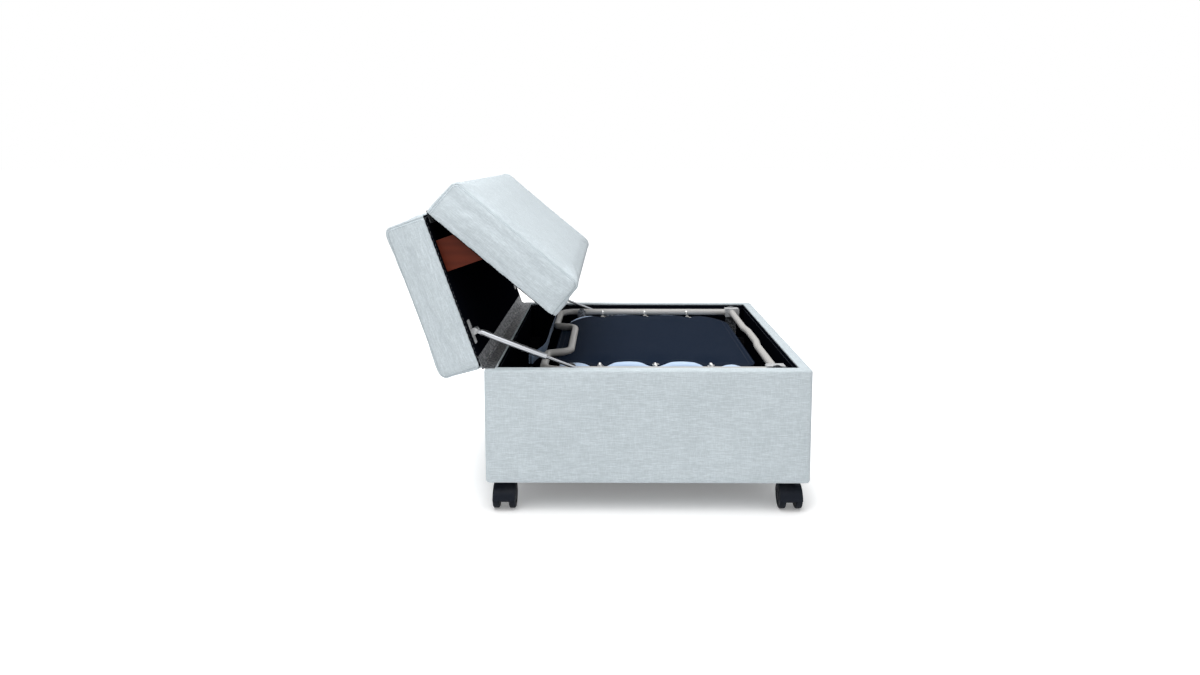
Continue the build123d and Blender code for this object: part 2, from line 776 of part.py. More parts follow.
def bent_tube(points, radii, at_z, outer, bore):
    """Tube bent in a level plane through points, with one bend radius for each corner."""
    with BuildPart() as tube:
        with BuildLine(Plane.XY.offset(at_z)) as route:
            FilletPolyline(*points, radius=radii)
        with BuildSketch(Plane(origin=route.wire() @ 0, z_dir=route.wire() % 0)):
            Circle(outer)
            Circle(bore, mode=Mode.SUBTRACT)
        sweep(path=route.wire())
    return tube.part


with BuildPart() as top_side_rails:
    for side in (-1, 1):
        add(
            tube_along_x(
                rail_start_x,
                side * bed_rail_y,
                bed_rail_z,
                rail_end_x - rail_start_x,
                tube_radius,
                tube_bore,
            )
        )
top_side_rails.part.label = "top_side_rails"
export_step(top_side_rails.part, "parts/top_side_rails.step")

handle_out_x = bed_left_x + handle_reach
with BuildPart() as top_handle_tube:
    add(
        bent_tube(
            [
                (rail_start_x, -bed_rail_y),
                (bed_left_x, -bed_rail_y),
                (bed_left_x, handle_near_y),
                (handle_out_x, handle_near_y + handle_slope),
                (handle_out_x, handle_far_y - handle_slope),
                (bed_left_x, handle_far_y),
                (bed_left_x, bed_rail_y),
                (rail_start_x, bed_rail_y),
            ],
            [handle_corner_radius]
            + [handle_bend_radius / 2, handle_bend_radius, handle_bend_radius, handle_bend_radius / 2]
            + [handle_corner_radius],
            bed_rail_z,
            tube_radius,
            tube_bore,
        )
    )
top_handle_tube.part.label = "top_handle_tube"
export_step(top_handle_tube.part, "parts/top_handle_tube.step")

fitting_inner_y = bed_rail_y + tube_radius - fitting_width
hinge_tube_half = fitting_inner_y + fitting_tube_depth
with BuildPart() as top_hinge_tube:
    add(
        bent_tube(
            [
                (bed_right_x, -hinge_tube_half),
                (bed_right_x, -hinge_tube_bow_start),
                (bed_right_x + hinge_tube_bow, -hinge_tube_bow_end),
                (bed_right_x + hinge_tube_bow, hinge_tube_bow_end),
                (bed_right_x, hinge_tube_bow_start),
                (bed_right_x, hinge_tube_half),
            ],
            hinge_tube_bend_radius,
            bed_rail_z,
            tube_radius,
            tube_bore,
        )
    )
top_hinge_tube.part.label = "top_hinge_tube"
export_step(top_hinge_tube.part, "parts/top_hinge_tube.step")

with BuildPart() as top_corner_fittings:
    for side in (-1, 1):
        fitting_middle = (
            bed_right_x,
            side * (fitting_inner_y + fitting_width / 2),
            bed_rail_z,
        )
        with Locations(fitting_middle):
            Box(fitting_length, fitting_width, fitting_height)
        fitting_edges = top_corner_fittings.edges().filter_by(Axis.Y).group_by(Axis.Y)
        fillet(fitting_edges[-1 if side > 0 else 0], fitting_radius)
        rail_face = Plane(
            origin=(bed_right_x - fitting_length / 2, side * bed_rail_y, bed_rail_z),
            x_dir=(0, 1, 0),
            z_dir=(1, 0, 0),
        )
        with BuildSketch(rail_face):
            Circle(tube_radius)
        extrude(amount=fitting_length / 2 - fitting_rail_depth, mode=Mode.SUBTRACT)
        tube_face = Plane(
            origin=(bed_right_x, side * fitting_inner_y, bed_rail_z),
            x_dir=(1, 0, 0),
            z_dir=(0, side, 0),
        )
        with BuildSketch(tube_face):
            Circle(tube_radius)
        extrude(amount=fitting_tube_depth, mode=Mode.SUBTRACT)
        pin_face = Plane(
            origin=(bed_right_x, side * (bed_rail_y + tube_radius), bed_rail_z),
            x_dir=(1, 0, 0),
            z_dir=(0, -side, 0),
        )
        with BuildSketch(pin_face):
            Circle(bed_pin_radius + bed_pin_clearance)
        extrude(amount=bed_pin_bore_depth, mode=Mode.SUBTRACT)
top_corner_fittings.part.label = "top_corner_fittings"
export_step(top_corner_fittings.part, "parts/top_corner_fittings.step")

# Woven deck, arched along X, scalloped between the spring hooks
deck_middle_x = (deck_left_x + deck_right_x) / 2
deck_half_span = (deck_right_x - deck_left_x) / 2
deck_arc_radius = (deck_half_span ** 2 + deck_sag ** 2) / (2 * deck_sag)
deck_bend_x = deck_right_x - deck_right_radius
deck_bend_y = deck_hook_y - deck_right_slant
deck_right_straight = deck_bend_y - deck_right_radius
hook_places = [deck_middle_x + step * deck_hook_pitch for step in (-1, 0, 1)]


def deck_top_at(place_x):
    """Height of the deck's top face at a place along X."""
    away = place_x - deck_middle_x
    return deck_crown_z - deck_arc_radius + math.sqrt(deck_arc_radius ** 2 - away ** 2)


def under_arch(top_offset):
    """Closed outline below the deck's arch, lowered by top_offset, down to the floor."""
    left_x = deck_left_x - overrun
    right_x = deck_right_x + overrun
    end_z = deck_top_at(left_x) - top_offset
    with BuildSketch(Plane(origin=(0, half_depth, 0), x_dir=(1, 0, 0), z_dir=(0, -1, 0))) as below:
        with BuildLine():
            ThreePointArc(
                (left_x, end_z),
                (deck_middle_x, deck_crown_z - top_offset),
                (right_x, end_z),
            )
            Line((right_x, end_z), (right_x, 0))
            Line((right_x, 0), (left_x, 0))
            Line((left_x, 0), (left_x, end_z))
        make_face()
    return below.sketch


with BuildPart() as top_deck:
    extrude(under_arch(0), amount=box_depth, dir=(0, -1, 0))
    extrude(under_arch(deck_thickness), amount=box_depth, dir=(0, -1, 0), mode=Mode.SUBTRACT)
    with BuildSketch(Plane.XY):
        with BuildLine():
            Line((deck_left_x, -deck_left_straight), (deck_left_x, deck_left_straight))
            TangentArc((deck_left_x, deck_left_straight), (hook_places[0], deck_hook_y), tangent=(0, 1))
            for first, second in zip(hook_places, hook_places[1:]):
                ThreePointArc(
                    (first, deck_hook_y),
                    ((first + second) / 2, deck_valley_y),
                    (second, deck_hook_y),
                )
            Line((hook_places[-1], deck_hook_y), (deck_bend_x, deck_bend_y))
            TangentArc((deck_right_x, deck_right_straight), (deck_bend_x, deck_bend_y), tangent=(0, 1))
            Line((deck_right_x, -deck_right_straight), (deck_right_x, deck_right_straight))
            TangentArc((deck_right_x, -deck_right_straight), (deck_bend_x, -deck_bend_y), tangent=(0, -1))
            Line((deck_bend_x, -deck_bend_y), (hook_places[-1], -deck_hook_y))
            for first, second in zip(hook_places, hook_places[1:]):
                ThreePointArc(
                    (first, -deck_hook_y),
                    ((first + second) / 2, -deck_valley_y),
                    (second, -deck_hook_y),
                )
            TangentArc((deck_left_x, -deck_left_straight), (hook_places[0], -deck_hook_y), tangent=(0, -1))
        make_face()
    extrude(amount=rim_height, mode=Mode.INTERSECT)
top_deck.part.label = "top_deck"
export_step(top_deck.part, "parts/top_deck.step")


# Springs: a clip on the deck, a tail, turns of wire and a tail to the rail
def arc_middle(start, corner, end):
    """Middle point of the arc that touches start-corner and corner-end at its two ends."""
    chord_middle = (start + end) / 2
    toward = corner - chord_middle
    half_chord = (end - start).length / 2
    half_turn = math.atan2(toward.length, half_chord)
    return chord_middle + toward.normalized() * half_chord * math.tan(half_turn / 2)


def biarc(start, start_way, end, end_way):
    """Two arcs that join two points and keep the given directions at both."""
    across = end - start
    ways = start_way + end_way
    spread = 2 * (1 - start_way.dot(end_way))
    lean = across.dot(ways)
    reach = (math.sqrt(lean ** 2 + spread * across.dot(across)) - lean) / spread
    first_corner = start + start_way * reach
    last_corner = end - end_way * reach
    joint = (first_corner + last_corner) / 2
    ThreePointArc(start, arc_middle(start, first_corner, joint), joint)
    ThreePointArc(joint, arc_middle(joint, last_corner, end), end)


coil_start = deck_hook_y + 2 * spring_tail
rail_touch = math.sqrt(tube_radius ** 2 - (spring_z - spring_wire_radius - bed_rail_z) ** 2)
coil_end_limit = bed_rail_y - rail_touch - 2 * spring_tail
coil_length = spring_turns * spring_pitch
coil_middle = (coil_start + coil_end_limit) / 2
coil_low = coil_middle - coil_length / 2


def coil_point(turn, place_x, side):
    """A point of the coil and its direction, after a number of turns."""
    angle = 2 * math.pi * turn
    place = Vector(
        place_x + spring_coil_radius * math.sin(angle),
        side * (coil_low + spring_pitch * turn),
        spring_z + spring_coil_radius * math.cos(angle),
    )
    way = Vector(
        2 * math.pi * spring_coil_radius * math.cos(angle),
        side * spring_pitch,
        -2 * math.pi * spring_coil_radius * math.sin(angle),
    )
    return place, way.normalized()


def least_gap(route, turns):
    """Least clear distance between parts of the wire that lie more than half a turn apart."""
    samples = 24 * turns
    points = [route @ (index / samples) for index in range(samples + 1)]
    apart = samples // (2 * turns)
    spans = [
        (points[first] - points[second]).length
        for first in range(len(points))
        for second in range(first + apart, len(points))
    ]
    return min(spans) - 2 * spring_wire_radius


spring_gaps = []
with BuildPart() as top_springs:
    for side in (-1, 1):
        outward = Vector(0, side, 0)
        for place_x in hook_places:
            clip_lean = math.copysign(spring_clip_width / 2, deck_middle_x - place_x)
            clip_low_z = deck_crown_z if place_x == deck_middle_x else deck_top_at(place_x + clip_lean)
            with BuildSketch(Plane.XY.offset(clip_low_z)):
                with Locations((place_x, side * (deck_hook_y - spring_clip_depth / 2))):
                    RectangleRounded(spring_clip_width, spring_clip_depth, spring_clip_thickness)
            extrude(amount=spring_clip_thickness)
            with BuildSketch(Plane.XY.offset(clip_low_z)):
                with Locations((place_x, side * (deck_hook_y - spring_clip_thickness / 2))):
                    Rectangle(spring_clip_width / 2, spring_clip_thickness)
            extrude(amount=spring_z - clip_low_z + spring_wire_radius)
            tail_start = Vector(place_x, side * deck_hook_y, spring_z)
            tail_first = tail_start + outward * 2 * spring_wire_radius
            rail_point = Vector(place_x, side * (bed_rail_y - rail_touch), spring_z)
            tail_last = rail_point - outward * 2 * spring_wire_radius
            with BuildLine() as wire_route:
                Line(tail_start, tail_first)
                place, way = coil_point(0, place_x, side)
                biarc(tail_first, outward, place, way)
                for half in range(2 * spring_turns):
                    next_place, next_way = coil_point((half + 1) / 2, place_x, side)
                    biarc(place, way, next_place, next_way)
                    place, way = next_place, next_way
                biarc(place, way, tail_last, outward)
                Line(tail_last, rail_point)
            with BuildSketch(Plane(origin=tail_start, z_dir=outward)):
                Circle(spring_wire_radius)
            sweep(path=wire_route.wire())
            spring_gaps.append(least_gap(wire_route.wire(), spring_turns))
top_springs.part.label = "top_springs"
export_step(top_springs.part, "parts/top_springs.step")
print("springs: least gap of the wire to itself", round(min(spring_gaps), 2), "mm")


# Mattress sections: drawn-in sides, rounded corners and soft edges
def mattress_section(low_z, high_z):
    """One mattress section between two heights."""
    corner_places = (
        (mattress_left_x, -mattress_half_width),
        (mattress_right_x, -mattress_half_width),
        (mattress_right_x, mattress_half_width),
        (mattress_left_x, mattress_half_width),
    )
    middle_x = (mattress_left_x + mattress_right_x) / 2
    side_places = (
        (middle_x, -mattress_half_width + mattress_draw_in),
        (mattress_right_x - mattress_draw_in, 0),
        (middle_x, mattress_half_width - mattress_draw_in),
        (mattress_left_x + mattress_draw_in, 0),
    )
    with BuildPart() as section:
        with BuildSketch(Plane.XY.offset(low_z)) as plan:
            with BuildLine():
                for index, corner in enumerate(corner_places):
                    next_corner = corner_places[(index + 1) % len(corner_places)]
                    ThreePointArc(corner, side_places[index], next_corner)
            make_face()
            fillet(plan.vertices(), mattress_corner_radius)
        extrude(amount=high_z - low_z)
        fillet(section.faces().sort_by(Axis.Z)[0].edges(), mattress_edge_radius)
        fillet(section.faces().sort_by(Axis.Z)[-1].edges(), mattress_edge_radius)
    return section.part


bottom_frame_z = floor_z + slim_tube_radius
bottom_deck_low = floor_z + 2 * slim_tube_radius
bottom_mattress_low = bottom_deck_low + sheet_deck_thickness
leg_layer = 2 * (leg_tube_radius + slim_tube_radius) + mattress_gap + mattress_gap / 2
between_mattresses = leg_layer + sheet_deck_thickness + mattress_gap
mattress_stack = deck_crown_z - deck_thickness - bottom_mattress_low - between_mattresses
mattress_thickness = mattress_stack / mattress_count
bottom_mattress_high = bottom_mattress_low + mattress_thickness
outer_leg_z = bottom_mattress_high + mattress_gap + leg_tube_radius
foot_frame_z = outer_leg_z + leg_tube_radius + slim_tube_radius + mattress_gap / 2
foot_deck_low = foot_frame_z + slim_tube_radius
foot_mattress_low = foot_deck_low + sheet_deck_thickness
foot_mattress_high = foot_mattress_low + mattress_thickness
top_mattress_low = foot_mattress_high + mattress_gap

with BuildPart() as bottom_mattress:
    add(mattress_section(bottom_mattress_low, bottom_mattress_high))
bottom_mattress.part.label = "bottom_mattress"
export_step(bottom_mattress.part, "parts/bottom_mattress.step")

with BuildPart() as foot_mattress:
    add(mattress_section(foot_mattress_low, foot_mattress_high))
foot_mattress.part.label = "foot_mattress"
export_step(foot_mattress.part, "parts/foot_mattress.step")

with BuildPart() as top_mattress:
    add(mattress_section(top_mattress_low, deck_crown_z - deck_thickness))
    extrude(under_arch(deck_thickness), amount=box_depth, dir=(0, -1, 0), mode=Mode.INTERSECT)
top_mattress.part.label = "top_mattress"
export_step(top_mattress.part, "parts/top_mattress.step")

# Bottom section: frame on the box floor, clamps and deck
with BuildPart() as bottom_frame:
    for side in (-1, 1):
        add(
            tube_along_x(
                bottom_left_x - slim_tube_radius,
                side * bed_rail_y,
                bottom_frame_z,
                bottom_rail_end_x - bottom_left_x + slim_tube_radius,
                slim_tube_radius,
                slim_bore,
            )
        )
    for cross_x in (bottom_left_x, bottom_cross_x):
        add(
            tube_along_y(
                cross_x,
                bottom_frame_z,
                bed_rail_y - slim_tube_radius,
                slim_tube_radius,
                slim_bore,
            )
        )
bottom_frame.part.label = "bottom_frame"
export_step(bottom_frame.part, "parts/bottom_frame.step")

clamp_outer = slim_tube_radius + clamp_thickness
with BuildPart() as frame_clamps:
    for side in (-1, 1):
        for clamp_x in (clamp_first_x, clamp_second_x):
            clamp_plane = Plane(
                origin=(clamp_x, side * bed_rail_y, bottom_frame_z),
                x_dir=(0, 1, 0),
                z_dir=(1, 0, 0),
            )
            with BuildSketch(clamp_plane):
                Circle(clamp_outer)
                with Locations((0, -slim_tube_radius / 2)):
                    Rectangle(2 * clamp_outer, slim_tube_radius)
                with Locations((0, clamp_thickness / 2 - slim_tube_radius)):
                    Rectangle(2 * (clamp_outer + clamp_flange), clamp_thickness)
                Circle(slim_tube_radius, mode=Mode.SUBTRACT)
                with Locations((0, -slim_tube_radius / 2)):
                    Rectangle(2 * slim_tube_radius, slim_tube_radius, mode=Mode.SUBTRACT)
                with Locations((0, -slim_tube_radius - overrun / 2)):
                    Rectangle(2 * clamp_outer, overrun, mode=Mode.SUBTRACT)
            extrude(amount=clamp_width / 2, both=True)
frame_clamps.part.label = "frame_clamps"
export_step(frame_clamps.part, "parts/frame_clamps.step")

with BuildPart() as bottom_deck:
    with BuildSketch(Plane.XY.offset(bottom_deck_low)):
        with Locations(((bottom_left_x + bottom_cross_x) / 2, 0)):
            Rectangle(bottom_cross_x - bottom_left_x, 2 * bottom_deck_half_width)
    extrude(amount=sheet_deck_thickness)
bottom_deck.part.label = "bottom_deck"
export_step(bottom_deck.part, "parts/bottom_deck.step")

# Uprights at the right end: saddle on the bottom rail, plate, pivot pin
upright_inner_y = bed_rail_y + tube_radius + upright_gap
upright_outer_y = upright_inner_y + upright_thickness
with BuildPart() as bed_uprights:
    for side in (-1, 1):
        plate_plane = Plane(
            origin=(bed_right_x, side * upright_inner_y, 0),
            x_dir=(-side, 0, 0),
            z_dir=(0, side, 0),
        )
        plate_foot_z = floor_z + upright_floor_gap
        with BuildSketch(plate_plane):
            with Locations((0, (plate_foot_z + bed_rail_z) / 2)):
                Rectangle(upright_width, bed_rail_z - plate_foot_z)
            with Locations((0, bed_rail_z)):
                Circle(upright_width / 2)
        extrude(amount=upright_thickness)
        saddle_plane = Plane(
            origin=(bed_right_x - upright_width / 2, side * bed_rail_y, bottom_frame_z),
            x_dir=(0, side, 0),
            z_dir=(side, 0, 0),
        )
        saddle_reach = upright_outer_y - bed_rail_y
        saddle_foot = bottom_frame_z - plate_foot_z
        with BuildSketch(saddle_plane):
            with Locations((saddle_reach / 2, (saddle_half_height - saddle_foot) / 2)):
                Rectangle(saddle_reach, saddle_half_height + saddle_foot)
            Circle(slim_tube_radius, mode=Mode.SUBTRACT)
        extrude(amount=side * upright_width)
        pin_plane = Plane(
            origin=(bed_right_x, side * (bed_rail_y + tube_radius - bed_pin_depth), bed_rail_z),
            x_dir=(1, 0, 0),
            z_dir=(0, side, 0),
        )
        with BuildSketch(pin_plane):
            Circle(bed_pin_radius)
        extrude(amount=bed_pin_depth + upright_gap)
        with BuildSketch(plate_plane.offset(upright_thickness)):
            with Locations((0, bed_rail_z)):
                Circle(bed_pin_head_radius)
        extrude(amount=bed_pin_head)
bed_uprights.part.label = "bed_uprights"
export_step(bed_uprights.part, "parts/bed_uprights.step")

# Foot section: frame, deck, links to the top section and two folded legs
with BuildPart() as foot_frame:
    for side in (-1, 1):
        add(
            tube_along_x(
                foot_left_x + slim_tube_radius,
                side * foot_rail_y,
                foot_frame_z,
                bed_right_x - foot_left_x - 2 * slim_tube_radius,
                slim_tube_radius,
                slim_bore,
            )
        )
    for cross_x in (foot_left_x, bed_right_x):
        add(
            tube_along_y(
                cross_x,
                foot_frame_z,
                foot_rail_y + slim_tube_radius,
                slim_tube_radius,
                slim_bore,
            )
        )
foot_frame.part.label = "foot_frame"
export_step(foot_frame.part, "parts/foot_frame.step")

with BuildPart() as foot_deck:
    with BuildSketch(Plane.XY.offset(foot_deck_low)):
        with Locations(((foot_left_x + bed_right_x) / 2, 0)):
            Rectangle(bed_right_x - foot_left_x, 2 * foot_deck_half_width)
    extrude(amount=sheet_deck_thickness)
foot_deck.part.label = "foot_deck"
export_step(foot_deck.part, "parts/foot_deck.step")

with BuildPart() as fold_links:
    for side in (-1, 1):
        link_plane = Plane(
            origin=(link_x, side * link_y, 0),
            x_dir=(-side, 0, 0),
            z_dir=(0, side, 0),
        )
        with BuildSketch(link_plane):
            with Locations((0, (foot_frame_z + bed_rail_z) / 2)):
                Rectangle(2 * link_radius, bed_rail_z - foot_frame_z)
            with Locations((0, foot_frame_z), (0, bed_rail_z)):
                Circle(link_radius)
        extrude(amount=link_thickness)
        with BuildSketch(link_plane.offset(link_thickness)):
            with Locations((0, bed_rail_z)):
                Circle(bolt_radius)
        extrude(amount=bed_rail_y - tube_radius - link_y - link_thickness)
        with BuildSketch(link_plane.offset(link_thickness)):
            with Locations((0, foot_frame_z)):
                Circle(bolt_radius)
        extrude(amount=foot_rail_y - slim_tube_radius - link_y - link_thickness)
fold_links.part.label = "fold_links"
export_step(fold_links.part, "parts/fold_links.step")

leg_outer_y = leg_side_y + leg_tube_radius
foot_rail_inner_y = foot_rail_y - slim_tube_radius
with BuildPart() as fold_legs:
    for pivot_x, leg_way, leg_z in (
        (inner_leg_x, 1, foot_frame_z),
        (outer_leg_x, -1, outer_leg_z),
    ):
        tip_x = pivot_x + leg_way * leg_length
        tail_x = pivot_x - leg_way * leg_tail
        add(
            bent_tube(
                [
                    (tail_x, -leg_side_y),
                    (tip_x, -leg_side_y),
                    (tip_x, leg_side_y),
                    (tail_x, leg_side_y),
                ],
                leg_bend_radius,
                leg_z,
                leg_tube_radius,
                leg_bore,
            )
        )
    for side in (-1, 1):
        inner_bolt_plane = Plane(
            origin=(inner_leg_x, side * leg_outer_y, foot_frame_z),
            x_dir=(1, 0, 0),
            z_dir=(0, side, 0),
        )
        with BuildSketch(inner_bolt_plane):
            Circle(bolt_radius)
        extrude(amount=foot_rail_inner_y - leg_outer_y)
        leg_plate_plane = Plane(
            origin=(outer_leg_x, side * leg_outer_y, (foot_frame_z + outer_leg_z) / 2),
            x_dir=(1, 0, 0),
            z_dir=(0, side, 0),
        )
        leg_plate_height = foot_frame_z - outer_leg_z + 2 * bolt_radius + leg_tube_radius / 2
        with BuildSketch(leg_plate_plane):
            RectangleRounded(2 * leg_plate_half_width, leg_plate_height, bolt_radius)
        extrude(amount=leg_plate_thickness)
        outer_bolt_plane = Plane(
            origin=(outer_leg_x, side * (leg_outer_y + leg_plate_thickness), foot_frame_z),
            x_dir=(1, 0, 0),
            z_dir=(0, side, 0),
        )
        with BuildSketch(outer_bolt_plane):
            Circle(bolt_radius)
        extrude(amount=foot_rail_inner_y - leg_outer_y - leg_plate_thickness)
fold_legs.part.label = "fold_legs"
export_step(fold_legs.part, "parts/fold_legs.step")

# Webbing strap: lies along the end tube, drops off it and ends in loose folds
strap_line_x = bed_left_x - tube_radius - strap_gap - strap_thickness / 2
fold_pitch = strap_thickness + strap_fold_gap
with BuildPart() as tie_strap:
    with BuildSketch(Plane.XY.offset(bed_rail_z - strap_width / 2)):
        with BuildLine():
            FilletPolyline(
                (strap_line_x, strap_far_y),
                (strap_line_x, strap_turn_y),
                (strap_drop_x, strap_drop_y),
                (strap_drop_x, strap_drop_y - strap_fold_length),
                radius=strap_bend_radius,
            )
            offset(amount=strap_thickness / 2)
        make_face()
    extrude(amount=strap_width)
    for fold in range(strap_fold_count):
        fold_x = strap_drop_x - (fold + 1) * fold_pitch
        with BuildSketch(Plane.XY.offset(bed_rail_z - strap_width / 2)):
            with Locations((fold_x, strap_drop_y - strap_fold_length / 2)):
                Rectangle(strap_thickness, strap_fold_length)
        extrude(amount=strap_width)
        turn_y = strap_drop_y - strap_fold_length if fold % 2 == 0 else strap_drop_y
        turn_way = -1 if fold % 2 == 0 else 1
        with BuildSketch(Plane.XY.offset(bed_rail_z - strap_width / 2)):
            with Locations((fold_x + fold_pitch / 2, turn_y)):
                Rectangle(fold_pitch + strap_thickness, strap_thickness)
        extrude(amount=strap_width)
tie_strap.part.label = "tie_strap"
export_step(tie_strap.part, "parts/tie_strap.step")
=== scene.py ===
import json
import math
import bpy
import bmesh
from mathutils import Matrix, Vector, noise
from mathutils.bvhtree import BVHTree


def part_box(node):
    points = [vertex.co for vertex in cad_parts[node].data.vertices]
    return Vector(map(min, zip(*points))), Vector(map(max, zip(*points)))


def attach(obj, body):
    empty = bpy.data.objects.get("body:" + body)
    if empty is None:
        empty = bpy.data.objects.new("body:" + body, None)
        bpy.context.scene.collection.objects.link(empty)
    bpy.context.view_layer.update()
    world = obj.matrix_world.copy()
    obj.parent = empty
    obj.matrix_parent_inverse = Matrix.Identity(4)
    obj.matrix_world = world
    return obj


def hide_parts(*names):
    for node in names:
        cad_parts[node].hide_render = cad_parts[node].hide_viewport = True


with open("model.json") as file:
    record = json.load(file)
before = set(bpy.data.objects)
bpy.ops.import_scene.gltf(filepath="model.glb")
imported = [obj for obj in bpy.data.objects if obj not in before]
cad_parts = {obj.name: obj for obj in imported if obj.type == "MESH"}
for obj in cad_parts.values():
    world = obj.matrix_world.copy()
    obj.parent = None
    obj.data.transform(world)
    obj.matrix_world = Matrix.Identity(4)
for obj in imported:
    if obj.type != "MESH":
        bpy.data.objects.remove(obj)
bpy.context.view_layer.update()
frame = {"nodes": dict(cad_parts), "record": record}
nodes = frame["nodes"]
scene = bpy.context.scene
print("frame loaded:", len(nodes), "solids")


# node helpers

def feed(tree, node, values):
    # a socket is linked; a number, vector or colour is set
    for label, value in values.items():
        target = node.inputs[label]
        if isinstance(value, bpy.types.NodeSocket):
            tree.links.new(value, target)
        else:
            target.default_value = (*value, 1.0) if target.type == "RGBA" else value


def newGroup(name, inputs, outputs):
    # None stands for a vector, a number for a plain value
    group = bpy.data.node_groups.new(name, "ShaderNodeTree")
    for label, value in inputs.items():
        kind = "NodeSocketVector" if value is None else "NodeSocketFloat"
        socket = group.interface.new_socket(name=label, in_out="INPUT", socket_type=kind)
        if value is not None:
            socket.default_value = value
    for label in outputs:
        group.interface.new_socket(name=label, in_out="OUTPUT", socket_type="NodeSocketFloat")
    return group, group.nodes.new("NodeGroupInput").outputs, group.nodes.new("NodeGroupOutput")


def addMath(tree, operation, *values, clamp=False):
    node = tree.nodes.new("ShaderNodeMath")
    node.operation = operation
    node.use_clamp = clamp
    feed(tree, node, dict(enumerate(values)))
    return node.outputs[0]


def times(tree, a, b):
    return addMath(tree, "MULTIPLY", a, b)


def addMix(tree, factor, a, b):
    node = tree.nodes.new("ShaderNodeMix")
    node.data_type = "RGBA"
    feed(tree, node, {0: factor, 6: a, 7: b})
    return node.outputs[2]


def addNoise(tree, vector, scale, detail=2.0, rough=0.5):
    node = tree.nodes.new("ShaderNodeTexNoise")
    feed(tree, node, {"Vector": vector, "Scale": scale, "Detail": detail, "Roughness": rough})
    return node.outputs[0]


def stretched(tree, vector, scales):
    node = tree.nodes.new("ShaderNodeVectorMath")
    node.operation = "MULTIPLY"
    feed(tree, node, {0: vector, 1: scales})
    return node.outputs[0]


def limits(tree, value, low, high):
    node = tree.nodes.new("ShaderNodeMapRange")
    feed(tree, node, {"Value": value, "From Min": low, "From Max": high})
    return node.outputs[0]


def axesOf(tree, vector):
    node = tree.nodes.new("ShaderNodeSeparateXYZ")
    tree.links.new(vector, node.inputs[0])
    return node.outputs


# effects that several finishes share; scales are turns per metre

weaveRun = {"fine": 560, "weft": 46, "warp": 60, "wobble": 60, "wander": 0.0009, "cloud": 9}
wearScales = {"long": 700, "short": 60, "patch": 22, "dust": 40, "mottle": 150}
grainRun = {"bend": (2.2, 2.2, 22), "pores": (60, 60, 1500), "twist": 6, "bandShare": 0.06}


def makeWeaveGroup(run):
    # Place is the cloth's own place in metres, Facing its own normal, so the weave lies flat on each panel
    group, start, end = newGroup(
        "slubWeave", {"Place": None, "Facing": None, "Thread Pitch": 0.0012, "Slub": 1.0},
        ("Height", "Tint", "Rough"),
    )
    place = start["Place"]
    axes, facing = axesOf(group, place), axesOf(group, start["Facing"])
    turnRate = addMath(group, "DIVIDE", 2 * math.pi, start["Thread Pitch"])
    wobble = addNoise(group, place, run["wobble"])
    heights, slubs, shares = [], [], []
    for along, up, away in ((0, 2, 1), (1, 2, 0), (0, 1, 2)):
        waves = []
        for axis in (along, up):
            bent = addMath(group, "MULTIPLY_ADD", wobble, run["wander"], axes[axis])
            waves.append(addMath(group, "SINE", times(group, bent, turnRate)))
        heights.append(times(group, *waves))
        weftRun, warpRun = [run["fine"]] * 3, [run["fine"]] * 3
        weftRun[along], warpRun[up] = run["weft"], run["warp"]
        weft = addNoise(group, stretched(group, place, weftRun), 1.0, 3, 0.7)
        warp = addNoise(group, stretched(group, place, warpRun), 1.0, 3, 0.7)
        crossing = times(group, limits(group, warp, 0.45, 0.75), 0.6)
        slubs.append(addMath(group, "ADD", limits(group, weft, 0.42, 0.72), crossing))
        shares.append(addMath(group, "POWER", addMath(group, "ABSOLUTE", facing[away]), 6.0))
    lastShare = addMath(group, "ADD", shares[2], 0.0001)
    total = addMath(group, "ADD", addMath(group, "ADD", shares[0], shares[1]), lastShare)

    def blended(values):
        mixed = times(group, values[0], shares[0])
        for value, share in zip(values[1:], shares[1:]):
            mixed = addMath(group, "ADD", mixed, times(group, value, share))
        return addMath(group, "DIVIDE", mixed, total)

    threads, slub = blended(heights), times(group, blended(slubs), start["Slub"])
    cloud = limits(group, addNoise(group, place, run["cloud"], 3), 0.3, 0.7)
    feed(group, end, {
        "Height": addMath(group, "ADD", times(group, threads, 0.5), slub),
        "Tint": addMath(group, "ADD", times(group, slub, 0.85), times(group, cloud, 0.13)),
        "Rough": addMath(group, "MULTIPLY_ADD", threads, 0.04, 0.82),
    })
    return group


def makeScuffGroup(scales):
    group, start, end = newGroup(
        "handlingWear", {"Place": None, "Amount": 0.3, "Grain Scale": 900.0},
        ("Scuff", "Grain", "Dust", "Mottle"),
    )
    place = start["Place"]
    long, short = scales["long"], scales["short"]
    scratches = []
    for way in ((long, short, short), (short, long, short)):
        drawn = addNoise(group, stretched(group, place, way), 1.0, 4, 0.6)
        scratches.append(limits(group, drawn, 0.64, 0.76))
    patches = limits(group, addNoise(group, place, scales["patch"], 4, 0.6), 0.45, 0.72)
    scuff = times(group, addMath(group, "MAXIMUM", *scratches), patches)
    upward = axesOf(group, group.nodes.new("ShaderNodeNewGeometry").outputs["Normal"])[2]
    settled = limits(group, addNoise(group, place, scales["dust"], 4, 0.7), 0.4, 0.7)
    feed(group, end, {
        "Scuff": addMath(group, "MULTIPLY", scuff, start["Amount"], clamp=True),
        "Grain": addNoise(group, place, start["Grain Scale"]),
        "Dust": times(group, limits(group, upward, 0.4, 1.0), settled),
        "Mottle": limits(group, addNoise(group, place, scales["mottle"], 4, 0.65), 0.47, 0.57),
    })
    return group


